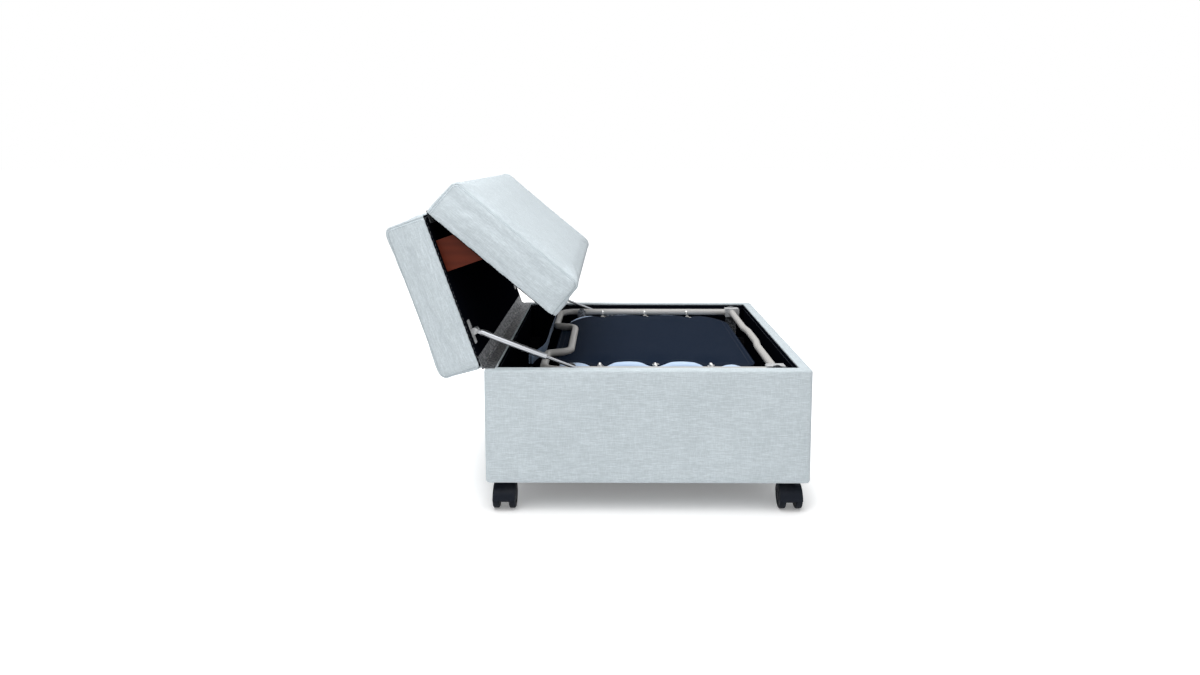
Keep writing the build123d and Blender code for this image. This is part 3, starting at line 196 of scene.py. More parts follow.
def makeGrainGroup(run):
    group, start, end = newGroup("timberGrain", {"Place": None, "Band Scale": 18.0}, ("Grain", "Pore"))
    place = start["Place"]
    wave = group.nodes.new("ShaderNodeTexWave")
    wave.wave_type = "BANDS"
    wave.bands_direction = "Z"
    feed(group, wave, {
        "Vector": stretched(group, place, run["bend"]), "Distortion": run["twist"], "Detail": 3,
        "Scale": times(group, start["Band Scale"], run["bandShare"]),
    })
    pores = addNoise(group, stretched(group, place, run["pores"]), 1.0, 2, 0.6)
    grain = addMath(group, "MULTIPLY_ADD", wave.outputs["Fac"], 0.7, times(group, pores, 0.3))
    feed(group, end, {"Grain": grain, "Pore": limits(group, pores, 0.55, 0.7)})
    return group


weaveGroup = makeWeaveGroup(weaveRun)
wearGroup = makeScuffGroup(wearScales)
grainGroup = makeGrainGroup(grainRun)


# finishes: a row leaves out what the plain row above it already says

plainCloth = {"sheen": 0.0, "gloss": 0.3, "pitch": 0.0012, "slub": 0.3, "relief": 0.3, "depth": 0.0003}
clothLooks = {
    "paleLinen": {
        "deep": (0.485, 0.545, 0.575), "pale": (0.715, 0.785, 0.828), "sheen": 0.06, "gloss": 0.15,
        "pitch": 0.0015, "slub": 0.8, "relief": 0.45, "depth": 0.0005,
    },
    "blackLining": {
        "deep": (0.002, 0.0025, 0.005), "pale": (0.006, 0.0075, 0.012), "gloss": 0.0, "pitch": 0.0011,
    },
    "navyDeckWeave": {
        "deep": (0.0065, 0.0125, 0.026), "pale": (0.012, 0.021, 0.040), "gloss": 0.03, "pitch": 0.0018,
        "slub": 0.25, "relief": 0.4, "depth": 0.0004,
    },
    "mattressTicking": {"deep": (0.47, 0.60, 0.80), "pale": (0.62, 0.74, 0.90), "sheen": 0.15, "gloss": 0.25},
    "blueWebbing": {
        "deep": (0.085, 0.135, 0.22), "pale": (0.26, 0.35, 0.48), "sheen": 0.2, "pitch": 0.0022,
        "slub": 0.4, "relief": 0.6, "depth": 0.0006,
    },
    "seamThread": {
        "deep": (0.30, 0.345, 0.38), "pale": (0.42, 0.47, 0.51), "sheen": 0.1, "pitch": 0.0008,
        "slub": 0.2, "depth": 0.0002,
    },
    "darkThread": {
        "deep": (0.02, 0.026, 0.04), "pale": (0.045, 0.055, 0.075), "sheen": 0.1, "gloss": 0.4,
        "pitch": 0.0008, "slub": 0.2, "depth": 0.0002,
    },
}
plainMetal = {"metal": 1.0, "gloss": 0.5, "grain": 300, "dust": 0.0, "relief": 0.1, "depth": 0.0001}
galvanised = {
    "rough": 0.42, "metal": 0.75, "wear": 1.0, "grain": 520, "dust": 0.08, "spread": 0.3, "relief": 0.25,
    "depth": 0.0003,
}
hardLooks = {
    "zincSteel": {
        **galvanised, "base": (0.085, 0.09, 0.10), "worn": (0.03, 0.032, 0.036), "mottle": (0.29, 0.30, 0.315),
    },
    "brightZinc": {
        **galvanised, "base": (0.42, 0.43, 0.44), "worn": (0.2, 0.205, 0.21), "mottle": (0.56, 0.57, 0.58),
    },
    "strutSteel": {
        "base": (0.46, 0.475, 0.50), "worn": (0.36, 0.365, 0.38), "rough": 0.36, "wear": 0.15,
        "spread": 0.04, "relief": 0.0,
    },
    "rodSteel": {
        "base": (0.30, 0.31, 0.33), "worn": (0.2, 0.2, 0.21), "rough": 0.14, "wear": 0.2, "dust": 0.03,
        "spread": 0.06, "relief": 0.04,
    },
    "paintedTube": {
        "base": (0.43, 0.42, 0.405), "worn": (0.27, 0.265, 0.26), "rough": 0.34, "metal": 0.0, "wear": 0.55,
        "grain": 420, "dust": 0.1, "spread": 0.14, "relief": 0.12, "depth": 0.0002,
    },
    "springSteel": {
        "base": (0.58, 0.58, 0.57), "worn": (0.35, 0.34, 0.33), "rough": 0.24, "wear": 0.4, "grain": 500,
        "dust": 0.03, "spread": 0.15, "relief": 0.08,
    },
    "casterPlastic": {
        "base": (0.005, 0.0075, 0.0135), "worn": (0.03, 0.033, 0.038), "rough": 0.45, "metal": 0.0,
        "gloss": 0.14, "wear": 0.5, "grain": 1400, "dust": 0.04, "spread": 0.16, "relief": 0.35,
        "depth": 0.0002,
    },
    # near-black at the bottom of each screw's socket: painted shade in the recess
    "screwSocket": {
        "base": (0.02, 0.02, 0.022), "worn": (0.05, 0.05, 0.05), "rough": 0.5, "metal": 0.6, "wear": 0.3,
        "grain": 900, "spread": 0.1,
    },
}
plainTimber = {"gloss": 0.4, "bands": 14, "relief": 0.2, "depth": 0.0004}
timberLooks = {
    "birchPly": {"deep": (0.32, 0.205, 0.11), "pale": (0.53, 0.385, 0.235), "rough": 0.62},
    "stainedPly": {
        "deep": (0.082, 0.0135, 0.0055), "pale": (0.108, 0.018, 0.007), "rough": 0.45, "gloss": 0.15,
        "bands": 12, "relief": 0.15,
    },
    # near-black timber for the corner blocks, so they read as the dark where they show: painted shade
    "blackTimber": {
        "deep": (0.006, 0.006, 0.008), "pale": (0.014, 0.013, 0.014), "rough": 0.7, "gloss": 0.05,
    },
}
paleDust = (0.42, 0.42, 0.42)


def newMaterial(name, colour, rough, gloss, metal=0.0):
    material = bpy.data.materials.new(name)
    material.use_nodes = True
    tree = material.node_tree
    shader = tree.nodes["Principled BSDF"]
    plain = {"Base Color": colour, "Roughness": rough, "Specular IOR Level": gloss, "Metallic": metal}
    feed(tree, shader, plain)
    return material, tree, shader


def addEffect(tree, group, values):
    node = tree.nodes.new("ShaderNodeGroup")
    node.node_tree = group
    feed(tree, node, values)
    return node.outputs


def bumpFrom(tree, height, look):
    bump = tree.nodes.new("ShaderNodeBump")
    feed(tree, bump, {"Height": height, "Strength": look["relief"], "Distance": look["depth"]})
    return bump.outputs[0]


def ownPlace(tree):
    return tree.nodes.new("ShaderNodeTexCoord").outputs["Object"]


def keptVector(tree, name):
    node = tree.nodes.new("ShaderNodeAttribute")
    node.attribute_name = name
    return node.outputs["Vector"]


def clothMaterial(name, look):
    look = {**plainCloth, **look}
    material, tree, shader = newMaterial(name, look["deep"], 0.8, look["gloss"])
    weave = addEffect(tree, weaveGroup, {
        "Thread Pitch": look["pitch"], "Slub": look["slub"],
        "Place": keptVector(tree, "clothPlace"), "Facing": keptVector(tree, "clothFacing"),
    })
    feed(tree, shader, {
        "Sheen Weight": look["sheen"], "Sheen Roughness": 0.5,
        "Base Color": addMix(tree, weave["Tint"], look["deep"], look["pale"]),
        "Roughness": weave["Rough"], "Normal": bumpFrom(tree, weave["Height"], look),
    })
    return material


def hardMaterial(name, look):
    look = {**plainMetal, **look}
    material, tree, shader = newMaterial(name, look["base"], look["rough"], look["gloss"], look["metal"])
    wear = addEffect(tree, wearGroup, {
        "Amount": look["wear"], "Grain Scale": look["grain"], "Place": ownPlace(tree),
    })
    worn = addMix(tree, wear["Scuff"], look["base"], look["worn"])
    if "mottle" in look:
        worn = addMix(tree, wear["Mottle"], worn, look["mottle"])
    varied = addMath(tree, "MULTIPLY_ADD", wear["Grain"], look["spread"], look["rough"])
    feed(tree, shader, {
        "Base Color": addMix(tree, times(tree, wear["Dust"], look["dust"]), worn, paleDust),
        "Roughness": addMath(tree, "ADD", varied, times(tree, wear["Scuff"], 0.2), clamp=True),
        "Normal": bumpFrom(tree, wear["Grain"], look),
    })
    return material


def timberMaterial(name, look):
    look = {**plainTimber, **look}
    material, tree, shader = newMaterial(name, look["deep"], look["rough"], look["gloss"])
    grain = addEffect(tree, grainGroup, {"Band Scale": look["bands"], "Place": ownPlace(tree)})
    wood = addMix(tree, grain["Grain"], look["deep"], look["pale"])
    feed(tree, shader, {
        "Base Color": addMix(tree, times(tree, grain["Pore"], 0.5), wood, look["deep"]),
        "Normal": bumpFrom(tree, grain["Grain"], look),
    })
    return material


finishes = {}
for make, looks in ((clothMaterial, clothLooks), (hardMaterial, hardLooks), (timberMaterial, timberLooks)):
    for name, look in looks.items():
        finishes[name] = make(name, look)

slotFinish = {
    "linen": "paleLinen", "black_lining": "blackLining", "plywood": "birchPly", "stained_ply": "stainedPly",
    "zinc_steel": "zincSteel", "strut_steel": "strutSteel", "rod_steel": "rodSteel",
    "painted_tube": "paintedTube", "spring_steel": "springSteel", "deck_weave": "navyDeckWeave",
    "ticking": "mattressTicking", "webbing": "blueWebbing", "caster_plastic": "casterPlastic",
}
# the corner blocks take the near-black timber, painted shade where they show
ownFinish = {
    "corner_blocks": "blackTimber", "strut_wall_brackets": "brightZinc", "strut_lid_brackets": "brightZinc",
    "top_corner_fittings": "brightZinc",
}
for part in frame["record"]["subparts"]:
    finish = finishes[ownFinish.get(part["node"], slotFinish[part["material_slot"]])]
    slots = nodes[part["node"]].data.materials
    if not slots:
        slots.append(finish)
    for index in range(len(slots)):
        slots[index] = finish
print("finishes made and given to the solids")


# shaping helpers

class Placing:
    # directions of a piece: along it from its pivot, up through it, and across the box
    def __init__(self, pivot, angle, start=0.0, under=0.0):
        turn = math.radians(angle)
        self.origin = Vector((pivot[0], 0, pivot[1]))
        self.along = Vector((math.cos(turn), 0, math.sin(turn)))
        self.up = Vector((-math.sin(turn), 0, math.cos(turn)))
        self.across = Vector((0, 1, 0))
        self.start, self.under = start, under

    def point(self, a, w, t):
        return self.origin + self.along * (self.start + a) + self.across * w + self.up * (self.under + t)

    def local(self, point):
        away = point - self.origin
        return away.dot(self.along) - self.start, away.dot(self.across), away.dot(self.up) - self.under


boxPlacing = Placing((0, 0), 0.0)


def clamped(value, low, high):
    return min(max(value, low), high)


def shareOf(*values):
    # the smallest, kept between 0 and 1
    return max(0.0, min(1.0, *values))


def eased(share):
    return share * share * (3 - 2 * share)


def quarterTurn(steps, first=0):
    # 1 - sine and 1 - cosine at even steps of a quarter turn
    turns = [math.radians(90 * step / steps) for step in range(first, steps + 1)]
    return [(1 - math.sin(turn), 1 - math.cos(turn)) for turn in turns]


def addPiece(name, mesh, finish, body, smooth=True):
    piece = bpy.data.objects.new(name, mesh)
    scene.collection.objects.link(piece)
    if finish:
        mesh.materials.append(finishes[finish])
    if smooth:
        mesh.shade_smooth()
    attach(piece, body)
    return piece


def meshOf(name, bm):
    mesh = bpy.data.meshes.new(name)
    bm.normal_update()
    bm.to_mesh(mesh)
    bm.free()
    return mesh


def placeCloth(mesh, place):
    # keeps each point's own place on the cloth, so that the weave follows the panel wherever it is turned
    values, normals = [], []
    for vertex in mesh.vertices:
        away = vertex.co - place.origin
        for way in (place.along, place.across, place.up):
            values.append(away.dot(way))
            normals.append(vertex.normal.dot(way))
    for name, stored in (("clothPlace", values), ("clothFacing", normals)):
        mesh.attributes.new(name, "FLOAT_VECTOR", "POINT").data.foreach_set("vector", stored)


def clothPiece(name, bm, finish, body, place=boxPlacing):
    mesh = meshOf(name, bm)
    placeCloth(mesh, place)
    return addPiece(name, mesh, finish, body)


def roundedLoop(halfX, halfY, radius, counts, cornerSteps=5, edgeGap=0.0):
    # one closed outline in plan, anticlockwise; counts is how many points each long and short straight gets
    def cornerPoint(side, angle):
        return Vector((
            side[0] * (halfX - radius) + radius * math.cos(math.radians(angle)),
            side[1] * (halfY - radius) + radius * math.sin(math.radians(angle)),
        ))

    points = []
    corners = ((1, -1, -90), (1, 1, 0), (-1, 1, 90), (-1, -1, 180))
    for index, corner in enumerate(corners):
        turns = [corner[2] + 90 * turn / cornerSteps for turn in range(cornerSteps + 1)]
        points += [cornerPoint(corner, angle) for angle in turns]
        after = corners[(index + 1) % 4]
        first, goal = points[-1], cornerPoint(after, after[2])
        length = (goal - first).length
        count = counts[1] if index % 2 == 0 else counts[0]
        places = [part / count * length for part in range(1, count)]
        if edgeGap:
            places = [edgeGap, 2 * edgeGap] + places + [length - 2 * edgeGap, length - edgeGap]
        points += [first.lerp(goal, place / length) for place in sorted(places)]
    return points


def skinRows(bm, rows, closed=False, capped=True):
    # quads between each two rings of points, then the two ends; gives back the last end
    pairs = list(zip(rows, rows[1:]))
    if closed:
        pairs.append((rows[-1], rows[0]))
    for low, high in pairs:
        for index in range(len(low)):
            after = (index + 1) % len(low)
            bm.faces.new((low[index], low[after], high[after], high[index]))
    if capped and not closed:
        bm.faces.new(list(reversed(rows[0])))
        return bm.faces.new(rows[-1])


def skinned(rings, capped=False):
    bm = bmesh.new()
    skinRows(bm, [[bm.verts.new(point) for point in ring] for ring in rings], capped=capped)
    bmesh.ops.recalc_face_normals(bm, faces=bm.faces)
    return bm


def roundRow(bm, centre, side, other, radius, sides):
    angles = [2 * math.pi * turn / sides for turn in range(sides)]
    return [bm.verts.new(centre + radius * (math.cos(turn) * side + math.sin(turn) * other)) for turn in angles]


def tubeInto(bm, points, radius, sides=8, closed=False):
    # a round thread or cord along given points, added to one mesh
    last = len(points) - 1
    rows = []
    side = None
    for index, point in enumerate(points):
        if closed:
            way = points[(index + 1) % len(points)] - points[index - 1]
        else:
            way = points[min(index + 1, last)] - points[max(index - 1, 0)]
        way = way.normalized()
        if side is None:
            side = way.orthogonal().normalized()
        side = (side - way * side.dot(way)).normalized()
        rows.append(roundRow(bm, point, side, way.cross(side), radius, sides))
    skinRows(bm, rows, closed)


def straightSpots(start, end, normal, count):
    start, end, normal = Vector(start), Vector(end), Vector(normal)
    return [(start.lerp(end, step / count), normal) for step in range(count + 1)]


def stitchRow(bm, spots, stitch):
    # spots are (point, normal) along a seam; each stitch rises out of the cloth and goes back in
    radius = stitch["radius"]
    travelled, due = 0.0, stitch["pitch"] / 2
    for (pointA, normalA), (pointB, normalB) in zip(spots, spots[1:]):
        step = (pointB - pointA).length
        while step > 1e-9 and travelled + step >= due:
            share = (due - travelled) / step
            middle = pointA.lerp(pointB, share)
            half = (pointB - pointA).normalized() * stitch["length"] / 2
            normal = normalA.lerp(normalB, share).normalized()
            path = []
            for quarter in range(5):
                lift = radius * (1.5 * math.sin(math.pi * quarter / 4) - 0.5)
                path.append(middle + half * (quarter / 2 - 1) + normal * lift)
            tubeInto(bm, path, radius, 5)
            due += stitch["pitch"]
        travelled += step


def solvedShape(piece):
    return piece.evaluated_get(bpy.context.evaluated_depsgraph_get())


def applied(piece, modifier):
    mesh = bpy.data.meshes.new_from_object(solvedShape(piece))
    piece.modifiers.remove(modifier)
    old, piece.data = piece.data, mesh
    bpy.data.meshes.remove(old)


def remeshed(piece, size):
    even = piece.modifiers.new("evenCloth", "REMESH")
    even.mode = "VOXEL"
    even.voxel_size = size
    even.use_smooth_shade = True
    applied(piece, even)


def finer(piece):
    softer = piece.modifiers.new("softer", "SUBSURF")
    softer.levels = softer.render_levels = 1
    applied(piece, softer)


def puffUp(piece, press, isHeld):
    # Blender's own cloth under pressure, applied to the mesh; the part that touches the board is pinned
    pins = piece.vertex_groups.new(name="heldByBoard")
    pins.add([vertex.index for vertex in piece.data.vertices if isHeld(vertex.co)], 1.0, "REPLACE")
    cloth = piece.modifiers.new("foamPressure", "CLOTH")
    settings = {
        "quality": 5, "mass": 0.25, "tension_stiffness": press["tension"],
        "compression_stiffness": press["tension"], "shear_stiffness": press["tension"] / 2,
        "bending_stiffness": press["bending"], "use_pressure": True,
        "uniform_pressure_force": press["pressure"], "vertex_group_mass": "heldByBoard",
    }
    for label, value in settings.items():
        setattr(cloth.settings, label, value)
    cloth.settings.effector_weights.gravity = 0.0
    cloth.point_cache.frame_start, cloth.point_cache.frame_end = 1, press["frames"]
    for step in range(1, press["frames"] + 1):
        scene.frame_set(step)
    ended = [vertex.co.copy() for vertex in solvedShape(piece).data.vertices]
    piece.modifiers.remove(cloth)
    piece.vertex_groups.remove(pins)
    scene.frame_set(1)
    for vertex, after in zip(piece.data.vertices, ended):
        move = after - vertex.co
        if move.length > press["cap"]:
            move = move.normalized() * press["cap"]
        vertex.co += move


def closeSheet(bm, shown, hidden):
    # joins two grids of points into one thin closed sheet
    lastA, lastB = len(shown) - 1, len(shown[0]) - 1
    for a in range(lastA):
        for b in range(lastB):
            bm.faces.new((shown[a][b], shown[a + 1][b], shown[a + 1][b + 1], shown[a][b + 1]))
            bm.faces.new((hidden[a][b], hidden[a][b + 1], hidden[a + 1][b + 1], hidden[a + 1][b]))
        for b in (0, lastB):
            bm.faces.new((shown[a][b], shown[a + 1][b], hidden[a + 1][b], hidden[a][b]))
    for b in range(lastB):
        for a in (0, lastA):
            bm.faces.new((shown[a][b], shown[a][b + 1], hidden[a][b + 1], hidden[a][b]))
    bmesh.ops.recalc_face_normals(bm, faces=bm.faces)


def panelSheet(bm, pointAt, spanA, spanB, look, seed):
    # pointAt turns (a, b, depth) into a point, depth 0 being the side that shows
    lowA, lowB = spanA[0], spanB[0]
    wideA, wideB = spanA[1] - lowA, spanB[1] - lowB
    countA, countB = max(2, round(wideA / look["cell"])), max(2, round(wideB / look["cell"]))
    shown, hidden = [], []
    for stepA in range(countA + 1):
        shown.append([])
        hidden.append([])
        a = lowA + wideA * stepA / countA
        for stepB in range(countB + 1):
            b = lowB + wideB * stepB / countB
            held = min(1.0, min(stepA, countA - stepA, stepB, countB - stepB) / 3)
            wave = 0.5 + 0.5 * noise.noise(Vector((a * 9, b * 5, seed)))
            crease = abs(noise.noise(Vector((a * 22, b * 4, seed + 7))))
            depth = look["ripple"] * held * (0.7 * wave + 0.5 * crease)
            shown[-1].append(bm.verts.new(pointAt(a, b, depth)))
            hidden[-1].append(bm.verts.new(pointAt(a, b, max(look["thick"], depth + 0.0004))))
    closeSheet(bm, shown, hidden)


# box cover: one skin from the turned-under edge, up the walls and over the rim

coverLook = {
    "halfX": 0.395, "halfY": 0.42, "corner": 0.011, "low": 0.076, "rim": 0.358, "turnUnder": 0.066,
    "bottomRound": 0.008, "rimRound": 0.0055, "rimWidth": 0.0277, "innerRound": 0.0022, "innerDrop": 0.0052,
    "swell": 0.0009, "wallFade": 0.02, "cornerFade": 0.05,
    "seamDepth": 0.0009, "seamWidth": 0.0016, "edgeGap": 0.0022,
    "columns": (84, 90), "rows": 34,
    "stitch": {"pitch": 0.0048, "length": 0.0034, "radius": 0.00035}, "stitchInset": 0.0028,
}


def coverProfile(look):
    # (inset, height) from the underside to the inside of the rim
    low, rim, inner = look["low"], look["rim"], look["innerRound"]
    lowRound, rimRound, under = look["bottomRound"], look["rimRound"], look["turnUnder"]
    flat = look["rimWidth"] - inner
    lowWall, highWall = low + lowRound, rim - rimRound
    profile = [(under - (under - lowRound) * step / 6, low + 0.0003) for step in range(7)]
    profile += [(lowRound * a, low + lowRound * b) for a, b in quarterTurn(5, 1)]
    profile += [(0.0, lowWall + (highWall - lowWall) * step / look["rows"]) for step in range(1, look["rows"])]
    profile += [(rimRound * b, rim - rimRound * a) for a, b in quarterTurn(5)]
    for step in range(1, 5):
        crown = 0.0004 * math.sin(math.pi * step / 5)
        profile.append((rimRound + (flat - rimRound) * step / 5, rim + crown))
    profile += [(flat + inner * (1 - a), rim - inner * b) for a, b in quarterTurn(4)]
    drop = rim - look["innerDrop"]
    return profile + [(look["rimWidth"], drop), (look["rimWidth"] - 0.003, drop - 0.0002)]


def makeBoxCover(look):
    halfX, halfY, corner = look["halfX"], look["halfY"], look["corner"]
    lowWall, highWall = look["low"] + look["bottomRound"], look["rim"] - look["rimRound"]
    rings = []
    for inset, height in coverProfile(look):
        ring = []
        radius = max(corner - inset, 0.0012)
        fade = look["wallFade"]
        wall = shareOf((height - lowWall) / fade, (highWall - height) / fade) if inset < 1e-6 else 0.0
        for x, y in roundedLoop(halfX - inset, halfY - inset, radius, look["columns"], 5, look["edgeGap"]):
            outX = abs(x) > halfX - inset - 1e-6
            outY = abs(y) > halfY - inset - 1e-6
            fromCorner = (halfX - abs(x) if outY else halfY - abs(y)) - corner
            wave = noise.noise(Vector((x * 7, y * 7, height * 9)))
            wave += 0.5 * noise.noise(Vector((x * 19, y * 19, height * 5)))
            push = look["swell"] * wall * shareOf(fromCorner / look["cornerFade"]) * (0.5 + 0.5 * wave)
            if outY and y > 0 and inset < look["rimRound"] + 1e-6:
                push -= look["seamDepth"] * math.exp(-(fromCorner / look["seamWidth"]) ** 2)
            pushX, pushY = outX * push * math.copysign(1, x), outY * push * math.copysign(1, y)
            ring.append((x + pushX, y + pushY, height))
        rings.append(ring)
    cover = clothPiece("boxCoverLinen", skinned(rings), "paleLinen", "base")
    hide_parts("box_cover")
    stitches = bmesh.new()
    for end in (-1, 1):
        x = end * (halfX - corner - look["stitchInset"])
        ends = [(x, halfY + 0.0001, z) for z in (lowWall, highWall)]
        stitchRow(stitches, straightSpots(*ends, (0, 1, 0), 39), look["stitch"])
    clothPiece("boxCornerStitches", stitches, "seamThread", "base")
    return cover


boxCover = makeBoxCover(coverLook)
print("box cover:", len(boxCover.data.vertices), "points")


# lid halves: foam cushions blown up by a cloth run, then seamed along both side panels

lidLook = {
    "rear": {
        "node": "rear_lid_pad", "body": "rear_lid", "foldEnd": 1, "low": -0.006, "high": 0.394, "seed": 3.0,
        "place": Placing((-0.399, 0.359), 109.3, 0.004, 0.002),
    },
    "front": {
        "node": "front_lid_pad", "body": "front_lid", "foldEnd": -1, "low": 0.0, "high": 0.397, "seed": 8.0,
        "place": Placing((-0.52974, 0.73597), -40.0, 0.001, 0.0032),
    },
    "length": 0.394, "halfDepth": 0.42, "thick": 0.110, "crown": 0.004, "crownEnd": 0.18,
    "crownInsets": (0.035, 0.06, 0.09, 0.12, 0.15, 0.17), "outerCorner": 0.022, "foldCorner": 0.008,
    "topRound": 0.018, "bottomRound": 0.004, "shrink": 0.001, "voxel": 0.006, "wrap": 0.0058,
    "wrapRise": 0.0018, "tuck": 0.0085, "boardRise": 0.0138, "proud": 0.0028,
    "seamInset": 0.0095, "seamRound": 0.015, "seamDepth": 0.0024, "seamWidth": 0.0023, "seamStep": 0.006,
    "seamStart": 0.004, "seamReach": 0.009, "panelReach": 0.03,
    "stitch": {"pitch": 0.0045, "length": 0.0031, "radius": 0.00036}, "stitchInset": 0.0036,
}
foamPress = {"tension": 24.0, "bending": 2.5, "pressure": 4.0, "frames": 20, "cap": 0.005}


def makeLidCushion(name, half, look):
    place, low, high, shrink = half["place"], half["low"], half["high"], look["shrink"]
    centre, halfA, halfW = (low + high) / 2, (high - low) / 2 - shrink, look["halfDepth"] - shrink
    top, lowRound, topRound = look["thick"] - look["crown"] - shrink, look["bottomRound"], look["topRound"]
    profile = [(lowRound * a, lowRound * b) for a, b in quarterTurn(4)]
    profile += [(0.0, lowRound + (top - topRound - lowRound) * step / 8) for step in range(1, 8)]
    profile += [(topRound * b, top - topRound * a) for a, b in quarterTurn(8)]
    for inset in look["crownInsets"]:
        share = (inset - topRound) / (look["crownEnd"] - topRound)
        profile.append((inset, top + look["crown"] * math.sin(math.pi / 2 * share)))
    rings = []
    for inset, t in profile:
        # tight corners beside the fold, rounder ones at the free end
        outer, fold = (
            roundedLoop(halfA - inset, halfW - inset, max(corner - inset, least), (20, 40), 6)
            for corner, least in ((look["outerCorner"], 0.004), (look["foldCorner"], 0.003))
        )
        loop = [near if near[0] * half["foldEnd"] > 0 else far for near, far in zip(fold, outer)]
        rings.append([place.point(centre + a, w, t) for a, w in loop])
    cushion = addPiece(name, meshOf(name, skinned(rings, True)), None, half["body"])
    remeshed(cushion, look["voxel"])
    puffUp(cushion, foamPress, lambda point: place.local(point)[2] < look["boardRise"] + 0.004)
    proud = look["proud"]
    lowA, highA = low - proud, high + proud
    if half["foldEnd"] < 0:
        lowA = 0.0003
    else:
        highA = look["length"] - 0.0002
    reach = look["halfDepth"] + proud
    for vertex in cushion.data.vertices:
        a, w, t = place.local(vertex.co)
        t = clamped(t, 0.0, look["thick"] + proud)
        vertex.co = place.point(clamped(a, lowA, highA), clamped(w, -reach, reach), t)
    finer(cushion)
    for vertex in cushion.data.vertices:
        a, w, t = place.local(vertex.co)
        inside = min(a - low, high - a, look["halfDepth"] - abs(w))
        if t < look["boardRise"] and inside > look["tuck"]:
            vertex.co = place.point(a, w, look["boardRise"])
        elif t < look["wrapRise"] and inside > look["wrap"]:
            vertex.co = place.point(a, w, look["wrapRise"])
    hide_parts(half["node"])
    return cushion


def seamHeight(look):
    return look["thick"] - look["crown"] * 0.4 - look["seamInset"]


def seamRoute(look, half):
    # along the hinge end, the top edge and the free end of one side panel
    inset, turn, high = look["seamInset"], look["seamRound"], seamHeight(look)
    first, last = half["low"] + inset, half["high"] - inset
    low, gap = look["seamStart"], look["seamStep"]
    rises = [low + step * gap for step in range(int((high - turn - low) / gap))]
    route = [(first, t) for t in rises]
    for centre, start in ((first + turn, 180), (last - turn, 90)):
        if start == 90:
            run = last - first - 2 * turn
            route += [(first + turn + run * step / 60, high) for step in range(1, 60)]
        for step in range(9):
            angle = math.radians(start - 90 * step / 8)
            route.append((centre + turn * math.cos(angle), high - turn + turn * math.sin(angle)))
    return route + [(last, t) for t in reversed(rises)]


def sewLidCushion(cushion, half, look, name):
    place, low, high, inset = half["place"], half["low"], half["high"], look["seamInset"]
    panel = look["halfDepth"] - look["panelReach"]
    tree = BVHTree.FromObject(cushion, bpy.context.evaluated_depsgraph_get())
    routes = []
    for side in (-1, 1):
        outside = side * (look["halfDepth"] + look["panelReach"])
        starts = [place.point(a, outside, t) for a, t in seamRoute(look, half)]
        hits = [tree.ray_cast(start, -side * place.across) for start in starts]
        routes.append([hit[:2] for hit in hits if hit[0] is not None])
    # finer cloth beside the seam, where it is drawn in
    bm = bmesh.new()
    bm.from_mesh(cushion.data)
    cornerReach, cornerTop = look["seamRound"] + inset, look["thick"] - look["seamRound"] - inset - 0.006
    for pull in range(2):
        edges = set()
        for face in bm.faces:
            a, w, t = place.local(face.calc_center_median())
            fromEnd = min(a - low, high - a)
            edge = min(abs(a - low - inset), abs(high - inset - a), abs(seamHeight(look) - t))
            rounding = fromEnd < cornerReach and t > cornerTop
            if abs(w) >= panel and (edge < 0.006 - 0.002 * pull or rounding):
                edges.update(face.edges)
        bmesh.ops.subdivide_edges(bm, edges=list(edges), cuts=1, use_grid_fill=True)
    finders = []
    for spots in routes:
        line = bmesh.new()
        for (pointA, _), (pointB, _) in zip(spots, spots[1:]):
            sliver = (pointA, pointB, pointB + Vector((0, 1e-5, 1e-5)))
            line.faces.new([line.verts.new(point) for point in sliver])
        finders.append(BVHTree.FromBMesh(line))
        line.free()
    bm.normal_update()
    moves = []
    for vertex in bm.verts:
        a, w, t = place.local(vertex.co)
        if abs(w) < panel or t < 0.001:
            continue
        away = finders[0 if w < 0 else 1].find_nearest(vertex.co, look["seamReach"])[3]
        if away is not None:
            deep = look["seamDepth"] * math.exp(-(away / look["seamWidth"]) ** 2)
            moves.append((vertex, vertex.normal * deep))
    for vertex, move in moves:
        vertex.co -= move
    cushion.data = meshOf(name + "Skin", bm)
    cushion.data.materials.append(finishes["paleLinen"])
    cushion.data.shade_smooth()
    placeCloth(cushion.data, place)
    stitches = bmesh.new()
    for spots in routes:
        middle = sum((spot[0] for spot in spots), Vector()) / len(spots)
        laid = []
        for (point, normal), (after, _) in zip(spots, spots[1:]):
            side = (after - point).normalized().cross(normal).normalized()
            if side.dot(middle - point) < 0:
                side = -side
            found = tree.find_nearest(point + side * look["stitchInset"])
            laid.append((found[0] + found[1] * 0.0001, found[1]))
        stitchRow(stitches, laid, look["stitch"])
    clothPiece(name + "Stitches", stitches, "seamThread", half["body"], place)


for name in ("rear", "front"):
    cushion = makeLidCushion(name + "LidCushion", lidLook[name], lidLook)
    sewLidCushion(cushion, lidLook[name], lidLook, name + "Lid")
    print(name, "lid cushion:", len(cushion.data.vertices), "points")


# black cloth under the lid halves, inside the box and below its base

lidBoardLook = {"low": 0.0022, "high": 0.0136, "inset": 0.0075, "corner": 0.018, "edge": 0.0012}
lidLiningLook = {
    "wrap": 0.0052, "thick": 0.0013, "ripple": 0.0010, "cell": 0.011, "hem": 0.006,
    "staple": {"pitch": 0.011, "length": 0.007, "radius": 0.00045},
}


def makeLidBoard(name, half, length, halfDepth, look):
    # the plywood under the foam, with its corners rounded to stay inside the cloth
    halfA, halfW, edge = length / 2 - look["inset"], halfDepth - look["inset"], look["edge"]
    low, high = look["low"], look["high"]
    rings = []
    for inset, t in ((edge, low), (0.0, low + edge), (0.0, high - edge), (edge, high)):
        loop = roundedLoop(halfA - inset, halfW - inset, look["corner"] - inset, (6, 12), 6)
        rings.append([half["place"].point(length / 2 + a, w, t) for a, w in loop])
    name += "LidBoard"
    board = addPiece(name, meshOf(name, skinned(rings, True)), "birchPly", half["body"], False)
    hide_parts(half["body"] + "_board")


